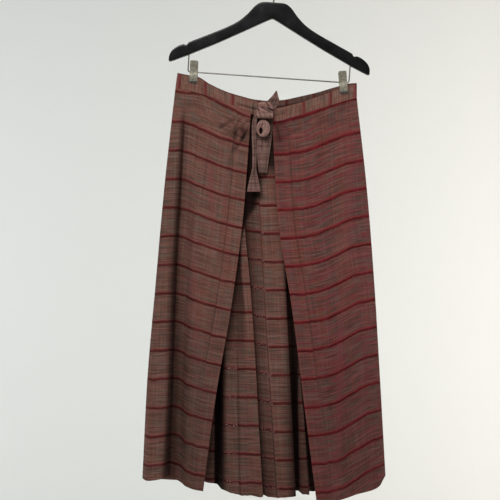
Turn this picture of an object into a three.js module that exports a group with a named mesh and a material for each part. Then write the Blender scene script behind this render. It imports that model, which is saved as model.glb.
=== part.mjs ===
// Pleated wrap midi skirt held by two pinch clips on a shaped hanger.
// Millimetres, +Z up, +X to the right of someone who looks at the front, +Y away from them.
// The origin is the inside top of the hanger's hook, where a rail carries it.

import * as THREE from "three";

// Cloth
const CLOTH = 1.0; // wall of the skirt's cloth
const BAND = 2.3; // waistband, cloth folded over its stiffening
const STRAP = 2.2; // tie belt, cloth folded double
const SEAM_GAP = 0.3; // between two pieces that are sewn or pressed together
const PANEL_OUT = 0.6; // a front panel's middle lies this far before the band's middle
const PLEAT_IN = 0.95; // the pleated panel's first layer lies this far behind it
const BAND_SPLITS = 4; // faces along each stretch of a waistband's table
const LAYER = 2.0; // from one layer of a pressed pleat to the next, at the waist

// Hanger
const HANGER_ROLL = 4; // degrees that the hanger hangs down to the right
const HANGER_SHIFT = 3.5; // its middle is this far right of where the rail carries it
const HANGER_THICK = 13;
const HANGER_EDGE = 2.5; // rounding of its edges
const HOOK_WIRE = 4;
const HOOK_INSIDE = 36; // diameter of the hook's eye
const BAR_WIRE = 3;
const BAR_DROP = 222; // height of the bar below the rail
const BAR_HALF = 172.7; // from the hanger's middle to each post of the bar
const BAR_BEND = 5;

// Pinch clips
const CLIP_OUT = 160; // from the hanger's middle to each clip
const CLIP_WIDTH = 17;
const CLIP_UP = 24; // levers above the bar
const CLIP_DOWN = 24; // jaws below the bar
const CLIP_PLATE = 1.2;
const SPRING_OUTSIDE = 6.4;
const SPRING_LENGTH = 9;
const CLIP_TILT = { left: 2.7, right: -4.4 }; // degrees

// Waistband: x, depth y, height of the top and bottom edge, from the left side to the right
const BAND_FRONT_LEFT = [
  { x: -208, y: -1.3, top: -213.5, bottom: -244.8 },
  { x: -184, y: -1.3, top: -219.2, bottom: -250.0 },
  { x: -163, y: -1.3, top: -223.4, bottom: -255.3 },
  { x: -139, y: -6, top: -238.0, bottom: -262.7 },
  { x: -101, y: -13, top: -256.3, bottom: -277.0 },
  { x: -74, y: -18, top: -265.7, bottom: -289.3 },
  { x: -47, y: -21, top: -273.0, bottom: -302.5 },
  { x: -25.9, y: -22, top: -281.0, bottom: -312.0 },
];
const BAND_FRONT_RIGHT = [
  { x: -25.3, y: -22, top: -281.2, bottom: -312.2 },
  { x: 4, y: -22, top: -290.0, bottom: -317.5 },
  { x: 41, y: -17, top: -281.5, bottom: -307.5 },
  { x: 75, y: -12, top: -270.7, bottom: -296.5 },
  { x: 109, y: -6, top: -258.0, bottom: -285.3 },
  { x: 134, y: -1.3, top: -248.3, bottom: -277.4 },
  { x: 158, y: -1.3, top: -240.3, bottom: -270.5 },
  { x: 177, y: -1.3, top: -236.5, bottom: -266.0 },
];
const BAND_BACK = [
  { x: -208, y: 1.3, top: -212.0, bottom: -244.0 },
  { x: -184, y: 1.3, top: -216.6, bottom: -247.5 },
  { x: -163, y: 1.3, top: -220.4, bottom: -251.5 },
  { x: -139, y: 6, top: -234.4, bottom: -264.4 },
  { x: -102, y: 12, top: -250.8, bottom: -281.0 },
  { x: -74, y: 15, top: -259.1, bottom: -289.5 },
  { x: -40, y: 17, top: -267.2, bottom: -298.0 },
  { x: -12, y: 18, top: -269.7, bottom: -301.0 },
  { x: 18, y: 17, top: -268.3, bottom: -299.5 },
  { x: 52, y: 14, top: -262.0, bottom: -293.0 },
  { x: 93, y: 8, top: -253.1, bottom: -284.0 },
  { x: 134, y: 1.3, top: -241.8, bottom: -272.5 },
  { x: 158, y: 1.3, top: -235.1, bottom: -266.5 },
  { x: 177, y: 1.3, top: -233.5, bottom: -265.0 },
];

// Front panels: a row for each fold line, from the left to the right. x and y are given at the
// waist, a quarter, half and three quarters of the way down and at the hem, hem is its height
// there, and cells is how many faces lie between it and the next row.
const QUARTERS = [0, 0.25, 0.5, 0.75, 1];
const LEFT_FOLDS = [
  { x: [-208, -233, -253.5, -272.5, -283.5], y: [-1.9, 4, 11, 18, 25], hem: -1084, cells: 3 },
  { x: [-203, -223, -243, -257, -266], y: [-1.9, -6, -10, -14, -18], hem: -1082, cells: 3 },
  { x: [-193, -204, -217.5, -225, -235.5], y: [-1.9, -7, -12, -16, -20], hem: -1077, cells: 4 },
  { x: [-187, -198, -208, -216, -224.5], y: [-1.9, 6, 14, 22, 30], hem: -1082, cells: 3 },
  { x: [-175.5, -184, -193, -198.5, -204], y: [-1.9, 1, 6, 10, 15], hem: -1088, cells: 3 },
  { x: [-158.5, -166.5, -175, -181.5, -188], y: [-3, -9, -15, -20, -25], hem: -1092, cells: 3 },
  { x: [-104.5, -114, -128.5, -149.5, -169.5], y: [-13, -20, -28, -35, -42], hem: -1096, cells: 15 },
  { x: [-49.7, -64, -89, -123, -150], y: [-21.5, -31, -38, -44, -50], hem: -1098, cells: 0 },
];
const RIGHT_FOLDS = [
  { x: [-1.5, 8.5, 38, 63.5, 89.5], y: [-22.6, -30, -36, -41, -45], hem: -1127, cells: 8 },
  { x: [38, 52.5, 77.5, 100.5, 123.5], y: [-18, -26, -34, -40, -45], hem: -1121, cells: 3 },
  { x: [66, 82.5, 106, 128, 150.5], y: [-14, -17, -20, -20, -20], hem: -1119, cells: 3 },
  { x: [93.5, 110.5, 133, 153.5, 173.5], y: [-9.5, -9, -8, -4, 0], hem: -1115, cells: 4 },
  { x: [150, 166.5, 186, 204, 221], y: [-1.9, -4, -3, 1, 5], hem: -1101, cells: 3 },
  { x: [177, 200, 216.5, 229.5, 242], y: [-1.9, 6, 14, 24, 35], hem: -1080, cells: 0 },
];
const PANEL_ROWS = [0, 0.012, 0.03, 0.05, 0.075, 0.105, 0.15, 0.21, 0.28, 0.36, 0.44, 0.52, 0.61,
  0.7, 0.8, 0.9, 1];

// Gathers where the band is drawn up to the knot: soft ridges that run out and down from it
const GATHERS = {
  left: { edge: -49.7, outward: -1, pitch: 13, depth: 3.4, reach: 62, slant: 0.8 },
  right: { edge: -1.5, outward: 1, pitch: 12, depth: 2.0, reach: 44, slant: 0.35 },
};
const GATHER_FROM = 0.012; // share of the panel's length where a ridge is at full height
const GATHER_TO = 0.13; // and where the last of it is gone

// Pleated panel: a row for each corner of its section, from its left end to its right. x is given
// at the waist, half way down and at the hem. layer is how many layers behind the first it lies
// at the waist, y is its depth half way down and at the hem, and cells is how many faces lie along
// the straight run to the next corner.
const THIRDS = [0, 0.5, 1];
const PLEATS_LEFT = [
  { x: [-128, -148, -168], layer: 0, y: [12, 30], hem: -1086, cells: 2 },
  { x: [-113.2, -124, -128.7], layer: 0, y: [2, 10], hem: -1093, cells: 1 },
  { x: [-110.4, -119, -121.6], layer: 0.3, y: [12, 25], hem: -1096, cells: 1 },
  { x: [-106.8, -106.8, -108.8], layer: 0, y: [-14, -20], hem: -1103, cells: 1 },
  { x: [-101.5, -85.5, -74.7], layer: 0, y: [-21, -30], hem: -1109, cells: 2 },
  { x: [-94, -48.6, -24], layer: 0, y: [-28, -36], hem: -1113, cells: 1 },
  { x: [-94, -48.6, -24], layer: 1, y: [-23, -28], hem: -1112, cells: 1 },
  { x: [-104.5, -72.7, -51.4], layer: 1, y: [-18, -20], hem: -1107, cells: 1 },
  { x: [-104.5, -72.7, -51.4], layer: 2, y: [-13, -12], hem: -1107, cells: 5 },
  { x: [-40.8, -19.6, 5.8], layer: 0.4, y: [-24, -27], hem: -1117, cells: 0 },
];
const PLEATS_RIGHT = [
  { x: [-40.8, -19.6, 5.8], layer: 0.4, y: [-24, -27], hem: -1117, cells: 5 },
  { x: [14.5, 27, 46], layer: 0, y: [-27, -30], hem: -1113, cells: 1 },
  { x: [14.5, 27, 46], layer: 1, y: [-21, -20], hem: -1112, cells: 1 },
  { x: [3.9, 12.8, 29.9], layer: 1, y: [-13, -8], hem: -1110, cells: 1 },
  { x: [3.9, 12.8, 29.9], layer: 2, y: [-6, 2], hem: -1110, cells: 1 },
  { x: [20.9, 33.3, 51.8], layer: 1.7, y: [4, 12], hem: -1108, cells: 1 },
  { x: [27.3, 42.3, 61.7], layer: 0.6, y: [-12, -8], hem: -1112, cells: 1 },
  { x: [33.6, 50.8, 70.1], layer: 0, y: [-14, -10], hem: -1113, cells: 1 },
  { x: [33.6, 50.8, 70.1], layer: 1, y: [-8, -2], hem: -1112, cells: 1 },
  { x: [29.5, 47, 65.6], layer: 1.2, y: [-3, 3], hem: -1110, cells: 1 },
  { x: [29.5, 47, 65.6], layer: 2.2, y: [2, 10], hem: -1110, cells: 1 },
  { x: [40.2, 56.8, 84], layer: 1.9, y: [3, 12], hem: -1109, cells: 2 },
  { x: [55.3, 74.9, 109.5], layer: 1, y: [1, 6], hem: -1108, cells: 0 },
];
const PLEAT_ROWS = [0, 0.03, 0.08, 0.15, 0.24, 0.34, 0.45, 0.56, 0.67, 0.78, 0.89, 1];
const FOLD_RADIUS = { waist: 1.6, hem: 9 }; // length of a corner's rounding along each side
const FOLD_STEPS = 3; // faces round a corner

// Back panel: soft even folds that open towards the hem, behind the side seams
const BACK = { bulge: 62, folds: 5, foldDepth: 9, columns: 40, hemSag: 18 };
const SIDE_SEAM = [2.9, 1.7, 1.2, 0.9, 0.9]; // behind the front panel's edge, down the side
const BACK_ROWS = [0, 0.04, 0.1, 0.2, 0.32, 0.46, 0.6, 0.74, 0.87, 1];

// Tie belt: x, depth y, height z, width and turn (degrees) down each strap
const LONG_TAIL = [
  { x: -36, y: -24.2, z: -302, width: 7.5, turn: 0 },
  { x: -41, y: -25.2, z: -314, width: 7.5, turn: 0 },
  { x: -43.5, y: -28.5, z: -330, width: 7.5, turn: -10 },
  { x: -43.8, y: -31.5, z: -352, width: 7.5, turn: -20 },
  { x: -43, y: -34, z: -385, width: 7.5, turn: -25 },
  { x: -43, y: -35.5, z: -415, width: 8, turn: -25 },
  { x: -43, y: -36, z: -430, width: 14, turn: -14 },
  { x: -43.2, y: -36.5, z: -448, width: 22, turn: -6 },
  { x: -43.2, y: -37, z: -468, width: 29, turn: 0 },
];
const SHORT_TAIL = [
  { x: -17, y: -24.6, z: -302, width: 24, turn: 0 },
  { x: -18, y: -25.8, z: -316, width: 30, turn: 0 },
  { x: -19, y: -27.0, z: -332, width: 32, turn: 0 },
  { x: -20.5, y: -27.6, z: -350, width: 31, turn: 0 },
  { x: -22, y: -29.5, z: -369, width: 30, turn: 8 },
  { x: -23.5, y: -32, z: -395, width: 27, turn: 22 },
  { x: -24.2, y: -33.5, z: -428, width: 24, turn: 42 },
];
const END_UP = [
  { x: -8, y: -24.6, z: -292, width: 22, turn: 0 },
  { x: -2, y: -25.2, z: -276, width: 24, turn: 0 },
  { x: 2.2, y: -27, z: -264, width: 12, turn: 6 },
  { x: 4.6, y: -28, z: -254, width: 2.5, turn: 10 },
];
// Knot: half width and half depth of its section at each height
const KNOT = { x: -20.5, y: -36.1, corner: 0.62, sides: 16 };
const KNOT_SECTIONS = [
  { z: -277.8, width: 7, depth: 3.5 },
  { z: -279.5, width: 13, depth: 7 },
  { z: -285, width: 16.5, depth: 9.4 },
  { z: -295, width: 18, depth: 10 },
  { z: -305, width: 17.5, depth: 9.8 },
  { z: -311.5, width: 15, depth: 8 },
  { z: -313.6, width: 9, depth: 5 },
];
const LOOP = { x: -24, y: -37, z: -331.7, radius: 10.6, tube: 4.9, high: 1.13, deep: 1.35 };

// Hanger's outline, right half from the middle of its top round to the middle of its underside
const HANGER_TOP = [
  [0, -62], [25.5, -62], [36, -67], [47, -82], [62.5, -99.5], [84, -115], [116, -131.5],
  [151, -148], [176, -160],
];
const HANGER_END = [[178.2, -165.8], [186.6, -164.3], [197, -168.8], [209.5, -178.5],
  [215.5, -191.5], [213, -203.5]];
const HANGER_UNDER = [[171, -184.6], [118, -158.9], [47, -121.2], [0, -96.5]];

const COLOURS = {
  cloth: 0x63433e,
  band: 0x664b45,
  tie: 0x6b5049,
  hanger: 0x161514,
  steel: 0x9a958c,
};

const QUARTER_TURN = Math.PI / 2;
const { degToRad, lerp, smoothstep } = THREE.MathUtils;

// Value at a place on a smooth curve through places and values, with no overshoot between them
function smooth(places, values, place) {
  const last = places.length - 1;
  const slope = (i) => (values[i + 1] - values[i]) / (places[i + 1] - places[i]);
  const tangent = (i) => {
    if (i === 0) return slope(0);
    if (i === last) return slope(last - 1);
    const before = slope(i - 1);
    const after = slope(i);
    return before * after > 0 ? (2 * before * after) / (before + after) : 0;
  };
  let i = 0;
  while (i < last - 1 && place > places[i + 1]) i += 1;
  const span = places[i + 1] - places[i];
  const t = (place - places[i]) / span;
  const s = 1 - t;
  return values[i] * s * s * (1 + 2 * t) + values[i + 1] * t * t * (3 - 2 * t)
    + tangent(i) * span * t * s * s - tangent(i + 1) * span * t * t * s;
}

// One column of a waistband's table at any x
function bandAt(rows, column, x) {
  return smooth(rows.map((row) => row.x), rows.map((row) => row[column]), x);
}

// The two front waistbands read as one
function frontBandAt(column, x) {
  return bandAt(x < BAND_FRONT_RIGHT[0].x ? BAND_FRONT_LEFT : BAND_FRONT_RIGHT, column, x);
}

function signedVolume(positions, faces) {
  const [a, b, c] = [new THREE.Vector3(), new THREE.Vector3(), new THREE.Vector3()];
  let volume = 0;
  for (let i = 0; i < faces.length; i += 3) {
    a.fromArray(positions, 3 * faces[i]);
    b.fromArray(positions, 3 * faces[i + 1]);
    c.fromArray(positions, 3 * faces[i + 2]);
    volume += a.dot(b.cross(c)) / 6;
  }
  return volume;
}

// Geometry of a closed solid, its faces turned to point out
function closedGeometry(points, faces) {
  const positions = points.flatMap((point) => point.toArray());
  const outward = signedVolume(positions, faces) > 0 ? faces : faces.toReversed();
  const geometry = new THREE.BufferGeometry();
  geometry.setAttribute("position", new THREE.Float32BufferAttribute(positions, 3));
  geometry.setIndex(outward);
  geometry.computeVertexNormals();
  return geometry;
}

// Wall of a given thickness about a grid of points, which lie in rows from one edge to the other
function clothWall(grid, thickness) {
  const rows = grid.length;
  const columns = grid[0].length;
  const half = thickness / 2;
  const front = [];
  const back = [];
  for (let i = 0; i < rows; i += 1) {
    for (let j = 0; j < columns; j += 1) {
      const down = new THREE.Vector3().subVectors(
        grid[Math.min(i + 1, rows - 1)][j], grid[Math.max(i - 1, 0)][j]);
      const across = new THREE.Vector3().subVectors(
        grid[i][Math.min(j + 1, columns - 1)], grid[i][Math.max(j - 1, 0)]);
      const normal = down.cross(across).normalize();
      front.push(grid[i][j].clone().addScaledVector(normal, half));
      back.push(grid[i][j].clone().addScaledVector(normal, -half));
    }
  }
  const count = rows * columns;
  const faces = [];
  const quad = (a, b, c, d) => faces.push(a, b, c, a, c, d);
  for (let i = 0; i < rows - 1; i += 1) {
    for (let j = 0; j < columns - 1; j += 1) {
      const a = i * columns + j;
      const d = a + columns;
      quad(a, a + 1, d + 1, d);
      quad(count + a, count + d, count + d + 1, count + a + 1);
    }
  }
  const rim = (a, b) => quad(b, a, count + a, count + b);
  const lastRow = (rows - 1) * columns;
  for (let j = 0; j < columns - 1; j += 1) {
    rim(j, j + 1);
    rim(lastRow + j + 1, lastRow + j);
  }
  for (let i = 0; i < rows - 1; i += 1) {
    rim((i + 1) * columns, i * columns);
    rim((i + 1) * columns - 1, (i + 2) * columns - 1);
  }
  return closedGeometry([...front, ...back], faces);
}

// Solid through closed sections of equal count, with a flat cap at each end
function loft(sections) {
  const count = sections[0].length;
  const points = sections.flat();
  const faces = [];
  for (let i = 0; i < sections.length - 1; i += 1) {
    for (let j = 0; j < count; j += 1) {
      const a = i * count + j;
      const b = i * count + ((j + 1) % count);
      faces.push(a, b, b + count, a, b + count, a + count);
    }
  }
  const cap = (section, first, turned) => {
    const middle = points.length;
    const centre = new THREE.Vector3();
    section.forEach((point) => centre.addScaledVector(point, 1 / count));
    points.push(centre);
    for (let j = 0; j < count; j += 1) {
      const a = first + j;
      const b = first + ((j + 1) % count);
      faces.push(...(turned ? [middle, a, b] : [middle, b, a]));
    }
  };
  cap(sections[0], 0, false);
  cap(sections.at(-1), (sections.length - 1) * count, true);
  return closedGeometry(points, faces);
}

// Waistband between its edges, with each stretch of the table split into a few
function bandGeometry(rows) {
  const places = rows.slice(1).flatMap((row, i) => {
    const shares = Array.from({ length: BAND_SPLITS }, (_, k) => k / BAND_SPLITS);
    return shares.map((share) => lerp(rows[i].x, row.x, share));
  });
  places.push(rows.at(-1).x);
  const edge = (share) => places.map((x) => new THREE.Vector3(
    x, bandAt(rows, "y", x), lerp(bandAt(rows, "top", x), bandAt(rows, "bottom", x), share)));
  return clothWall([edge(0), edge(0.5), edge(1)], BAND);
}

// How far a gather's ridge stands out of the panel at x on the waist and at a share down
function gatherRidge(gather, length, waistX, down) {
  const from = gather.outward * (waistX - gather.edge);
  const line = (from - gather.slant * down * length) / gather.pitch;
  const rise = smoothstep(down, 0, GATHER_FROM) * (1 - smoothstep(down, GATHER_FROM, GATHER_TO));
  const fade = 1 - smoothstep(from, gather.reach / 2, gather.reach);
  return gather.depth * rise * fade * (0.5 - 0.5 * Math.cos(2 * Math.PI * line));
}

// Front panel through its fold lines, hung from the bottom edge of the waistband
function frontPanelGrid(folds, gather) {
  const section = (down) => {
    const corners = folds.map((fold) => new THREE.Vector3(
      smooth(QUARTERS, fold.x, down),
      smooth(QUARTERS, fold.y, down),
      lerp(frontBandAt("bottom", fold.x[0]) - SEAM_GAP, fold.hem, down)));
    const curve = new THREE.CatmullRomCurve3(corners);
    const points = [];
    folds.slice(0, -1).forEach((fold, i) => {
      for (let k = 0; k < fold.cells; k += 1) {
        points.push(curve.getPoint((i + k / fold.cells) / (folds.length - 1)));
      }
    });
    points.push(corners.at(-1));
    return points;
  };
  const waist = section(0);
  return PANEL_ROWS.map((down) => section(down).map((point, j) => {
    const { x, y, z } = waist[j];
    const hold = (1 - down) ** 4; // the seam's hold on the cloth below it
    const length = z - folds[0].hem;
    point.y += hold * (frontBandAt("y", x) - PANEL_OUT - y);
    point.y -= gatherRidge(gather, length, x, down);
    point.z += hold * (frontBandAt("bottom", x) - SEAM_GAP - z);
    return point;
  }));
}

// Section of the pleated panel at a share down: straight runs with rounded corners
function pleatSection(corners, down) {
  const places = corners.map(({ x, y, layer, hem }) => {
    const waistY = frontBandAt("y", x[0]) + PLEAT_IN + layer * LAYER;
    const waistZ = frontBandAt("bottom", x[0]) - SEAM_GAP;
    return new THREE.Vector3(
      smooth(THIRDS, x, down), smooth(THIRDS, [waistY, ...y], down), lerp(waistZ, hem, down));
  });
  const radius = lerp(FOLD_RADIUS.waist, FOLD_RADIUS.hem, down);
  const bends = places.map((place, i) => {
    if (i === 0 || i === places.length - 1) return [place];
    const before = new THREE.Vector3().subVectors(places[i - 1], place);
    const after = new THREE.Vector3().subVectors(places[i + 1], place);
    const reach = Math.min(radius, 0.46 * before.length(), 0.46 * after.length());
    return new THREE.QuadraticBezierCurve3(
      place.clone().addScaledVector(before.normalize(), reach),
      place,
      place.clone().addScaledVector(after.normalize(), reach)).getPoints(FOLD_STEPS);
  });
  return bends.flatMap((bend, i) => {
    const points = [...bend];
    for (let k = 1; k < corners[i].cells; k += 1) {
      points.push(bend.at(-1).clone().lerp(bends[i + 1][0], k / corners[i].cells));
    }
    return points;
  });
}

function pleatGeometry(corners) {
  const waist = pleatSection(corners, 0);
  const grid = PLEAT_ROWS.map((down) => pleatSection(corners, down).map((point, j) => {
    const hung = frontBandAt("bottom", waist[j].x) - SEAM_GAP - waist[j].z;
    point.z += hung * (1 - down);
    return point;
  }));
  return clothWall(grid, CLOTH);
}

// The same corners with the end at the centre seam moved back by half the seam's gap
function seamed(corners, end, way) {
  return corners.map((corner, i) => {
    const atSeam = i === (end === "last" ? corners.length - 1 : 0);
    return atSeam ? { ...corner, x: corner.x.map((x) => x + way * SEAM_GAP / 2) } : corner;
  });
}

// Back panel from the left side seam to the right one
function backGeometry() {
  const [left, right] = [LEFT_FOLDS[0], RIGHT_FOLDS.at(-1)];
  const edgeY = (down, across) => smooth(QUARTERS, SIDE_SEAM, down)
    + lerp(smooth(QUARTERS, left.y, down), smooth(QUARTERS, right.y, down), across);
  const grid = BACK_ROWS.map((down) => {
    const points = [];
    for (let j = 0; j <= BACK.columns; j += 1) {
      const across = j / BACK.columns;
      const arch = Math.sin(Math.PI * across) ** 0.6;
      const wave = Math.sin(2 * Math.PI * BACK.folds * across) * Math.sin(Math.PI * across);
      const waistX = lerp(left.x[0], right.x[0], across);
      const opened = down * (BACK.bulge * arch + BACK.foldDepth * wave);
      const held = (1 - down) ** 3 * (bandAt(BAND_BACK, "y", waistX) - edgeY(0, across));
      const hem = lerp(left.hem, right.hem, across) - BACK.hemSag * arch;
      points.push(new THREE.Vector3(
        lerp(smooth(QUARTERS, left.x, down), smooth(QUARTERS, right.x, down), across),
        edgeY(down, across) + opened + held,
        lerp(bandAt(BAND_BACK, "bottom", waistX) - SEAM_GAP, hem, down)));
    }
    return points;
  });
  return clothWall(grid, CLOTH);
}

// Flat strap through a table of places, with its edges rounded off
function strapGeometry(rows) {
  return loft(rows.map(({ x, y, z, width, turn }) => {
    const half = width / 2;
    const thick = STRAP / 2;
    const shoulder = Math.max(half - thick, half * 0.5);
    const outline = [
      [-half, 0], [-shoulder, -thick], [0, -thick], [shoulder, -thick],
      [half, 0], [shoulder, thick], [0, thick], [-shoulder, thick],
    ];
    const angle = degToRad(turn);
    return outline.map(([across, out]) => new THREE.Vector3(
      x + across * Math.cos(angle) - out * Math.sin(angle),
      y + across * Math.sin(angle) + out * Math.cos(angle),
      z));
  }));
}

// Knot: sections between a box's and an oval's outline
function knotGeometry() {
  const squared = (value) => Math.sign(value) * Math.abs(value) ** KNOT.corner;
  return loft(KNOT_SECTIONS.map(({ z, width, depth }) => {
    const outline = [];
    for (let j = 0; j < KNOT.sides; j += 1) {
      const angle = (2 * Math.PI * j) / KNOT.sides;
      outline.push(new THREE.Vector3(
        KNOT.x + width * squared(Math.cos(angle)), KNOT.y + depth * squared(Math.sin(angle)), z));
    }
    return outline;
  }));
}

// Loop of the tie: a fat ring, taller than wide
function loopGeometry() {
  const geometry = new THREE.TorusGeometry(LOOP.radius, LOOP.tube, 10, 20);
  geometry.rotateX(QUARTER_TURN);
  geometry.scale(1, LOOP.deep, LOOP.high);
  geometry.translate(LOOP.x, LOOP.y, LOOP.z);
  return geometry;
}

// Round wire through [x, z] places in the hanger's plane
function wireGeometry(places, diameter, sides) {
  const inPlane = places.map(([x, z]) => new THREE.Vector3(x, 0, z));
  return loft(inPlane.map((place, i) => {
    const next = inPlane[Math.min(i + 1, inPlane.length - 1)];
    const along = new THREE.Vector3().subVectors(next, inPlane[Math.max(i - 1, 0)]).normalize();
    const side = new THREE.Vector3(along.z, 0, -along.x);
    const section = [];
    for (let j = 0; j < sides; j += 1) {
      const angle = (2 * Math.PI * j) / sides;
      section.push(place.clone()
        .addScaledVector(side, (diameter / 2) * Math.cos(angle))
        .add(new THREE.Vector3(0, (diameter / 2) * Math.sin(angle), 0)));
    }
    return section;
  }));
}

// Places on an arc from one angle to another, in degrees from +X towards +Z
function arc(x, z, radius, from, to, steps) {
  const places = [];
  for (let i = 0; i <= steps; i += 1) {
    const angle = degToRad(lerp(from, to, i / steps));
    places.push([x + radius * Math.cos(angle), z + radius * Math.sin(angle)]);
  }
  return places;
}

function hangerBodyGeometry() {
  const right = [...HANGER_TOP, ...HANGER_END, ...HANGER_UNDER];
  const left = right.slice(1, -1).reverse().map(([x, z]) => [-x, z]);
  const outline = new THREE.Shape([...right, ...left].map(([x, z]) => new THREE.Vector2(x, z)));
  const geometry = new THREE.ExtrudeGeometry(outline, {
    depth: HANGER_THICK - 2 * HANGER_EDGE,
    bevelThickness: HANGER_EDGE,
    bevelSize: HANGER_EDGE,
    bevelOffset: -HANGER_EDGE,
    bevelSegments: 2,
  });
  geometry.translate(0, 0, HANGER_EDGE - HANGER_THICK / 2);
  return geometry.rotateX(QUARTER_TURN);
}

// Hook: a stem on the hanger's top that swings out and round over the rail
function hookGeometry() {
  const round = (HOOK_INSIDE + HOOK_WIRE) / 2;
  const centre = HOOK_WIRE / 2 - round;
  const foot = HANGER_TOP[0][1] + SEAM_GAP;
  const stem = [[HANGER_SHIFT, foot], [HANGER_SHIFT, foot + 9], [5, -48], [9.5, -42], [15, -34]];
  return wireGeometry([...stem, ...arc(0, centre, round, -25, 200, 16)], HOOK_WIRE, 10);
}

// Bar: one wire with a post at each end, bent round to the level run
function barGeometry() {
  const postTop = -186.2 - SEAM_GAP;
  const inner = BAR_HALF - BAR_BEND;
  const bend = -BAR_DROP + BAR_BEND;
  return wireGeometry([
    [-BAR_HALF, postTop],
    ...arc(-inner, bend, BAR_BEND, 180, 270, 4),
    ...arc(inner, bend, BAR_BEND, 270, 360, 4),
    [BAR_HALF, postTop],
  ], BAR_WIRE, 8);
}

// Jaw of a clip: a bent plate, its levers standing off and its tip pressed to the band
function jawGeometry() {
  const tip = 1.3 + BAND / 2 + SEAM_GAP;
  const waist = SPRING_OUTSIDE / 2 + SEAM_GAP;
  const inside = [
    [tip, -CLIP_DOWN], [tip, -CLIP_DOWN + 6], [waist + 0.9, -8], [waist, -3], [waist, 3],
    [waist + 4.5, CLIP_UP],
  ];
  const outside = inside.map(([y, z]) => [y + CLIP_PLATE, z]).reverse();
  const outline = [...inside, ...outside].map(([y, z]) => new THREE.Vector2(y, z));
  const geometry = new THREE.ExtrudeGeometry(new THREE.Shape(outline), {
    depth: CLIP_WIDTH, bevelEnabled: false,
  });
  geometry.translate(0, 0, -CLIP_WIDTH / 2);
  return geometry.rotateX(QUARTER_TURN).rotateZ(QUARTER_TURN);
}

function springGeometry() {
  const bore = BAR_WIRE / 2 + SEAM_GAP;
  const wall = [
    [bore, -SPRING_LENGTH / 2], [SPRING_OUTSIDE / 2, -SPRING_LENGTH / 2],
    [SPRING_OUTSIDE / 2, SPRING_LENGTH / 2], [bore, SPRING_LENGTH / 2],
    [bore, -SPRING_LENGTH / 2],
  ].map(([radius, height]) => new THREE.Vector2(radius, height));
  return new THREE.LatheGeometry(wall, 16).rotateZ(QUARTER_TURN);
}

function piece(name, geometry, colour, metalness = 0, roughness = 0.9) {
  const material = new THREE.MeshStandardMaterial({ color: colour, metalness, roughness });
  const mesh = new THREE.Mesh(geometry, material);
  mesh.name = name;
  return mesh;
}

const steel = (name, geometry) => piece(name, geometry, COLOURS.steel, 1, 0.35);

function skirt() {
  const panels = {
    front_left_panel: clothWall(frontPanelGrid(LEFT_FOLDS, GATHERS.left), CLOTH),
    front_right_panel: clothWall(frontPanelGrid(RIGHT_FOLDS, GATHERS.right), CLOTH),
    pleat_panel_left: pleatGeometry(seamed(PLEATS_LEFT, "last", -1)),
    pleat_panel_right: pleatGeometry(seamed(PLEATS_RIGHT, "first", 1)),
    back_panel: backGeometry(),
  };
  const bands = {
    waistband_front_left: bandGeometry(BAND_FRONT_LEFT),
    waistband_front_right: bandGeometry(BAND_FRONT_RIGHT),
    waistband_back: bandGeometry(BAND_BACK),
  };
  const tie = {
    tie_knot: knotGeometry(),
    tie_loop: loopGeometry(),
    tie_end_up: strapGeometry(END_UP),
    tie_tail_long: strapGeometry(LONG_TAIL),
    tie_tail_short: strapGeometry(SHORT_TAIL),
  };
  const pieces = (geometries, colour) => Object.entries(geometries)
    .map(([name, geometry]) => piece(name, geometry, colour));
  return new THREE.Group().add(
    ...pieces(panels, COLOURS.cloth), ...pieces(bands, COLOURS.band), ...pieces(tie, COLOURS.tie));
}

// Hanger, upright in its own group, which is turned to the way it hangs. A clip's spring lies on
// the bar, and its two jaws hang in a group of their own, tilted with the band they hold.
function hanger() {
  const hung = new THREE.Group();
  hung.rotation.y = degToRad(HANGER_ROLL);
  const frame = new THREE.Group();
  frame.position.x = HANGER_SHIFT;
  frame.add(
    piece("hanger_body", hangerBodyGeometry(), COLOURS.hanger, 0, 0.4),
    steel("hanger_bar", barGeometry()));
  for (const [side, way] of [["left", -1], ["right", 1]]) {
    const spring = steel(`clip_${side}_spring`, springGeometry());
    spring.position.set(way * CLIP_OUT, 0, -BAR_DROP);
    const clip = new THREE.Group();
    clip.position.copy(spring.position);
    clip.rotation.y = degToRad(CLIP_TILT[side] - HANGER_ROLL);
    const front = steel(`clip_${side}_front`, jawGeometry());
    const back = steel(`clip_${side}_back`, jawGeometry());
    front.rotation.z = Math.PI;
    clip.add(front, back);
    frame.add(spring, clip);
  }
  return hung.add(frame, steel("hanger_hook", hookGeometry()));
}

export default new THREE.Group().add(skirt(), hanger());
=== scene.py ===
import bmesh
import bpy
import math
import numpy as np
from mathutils import Matrix, Vector, noise


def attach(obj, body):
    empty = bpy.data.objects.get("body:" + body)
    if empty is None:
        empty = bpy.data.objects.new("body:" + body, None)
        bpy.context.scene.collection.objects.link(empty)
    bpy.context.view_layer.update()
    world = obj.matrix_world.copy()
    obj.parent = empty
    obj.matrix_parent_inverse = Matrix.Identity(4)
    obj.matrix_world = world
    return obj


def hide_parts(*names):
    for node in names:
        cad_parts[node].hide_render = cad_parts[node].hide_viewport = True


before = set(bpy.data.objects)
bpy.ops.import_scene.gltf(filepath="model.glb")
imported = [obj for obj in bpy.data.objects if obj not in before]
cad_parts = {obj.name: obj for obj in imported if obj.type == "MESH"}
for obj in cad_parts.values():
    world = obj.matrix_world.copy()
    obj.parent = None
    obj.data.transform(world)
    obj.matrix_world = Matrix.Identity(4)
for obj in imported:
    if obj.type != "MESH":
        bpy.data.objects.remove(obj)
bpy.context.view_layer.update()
mm = 0.001
scene = bpy.context.scene
print("frame loaded:", len(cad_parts), "nodes")


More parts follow.
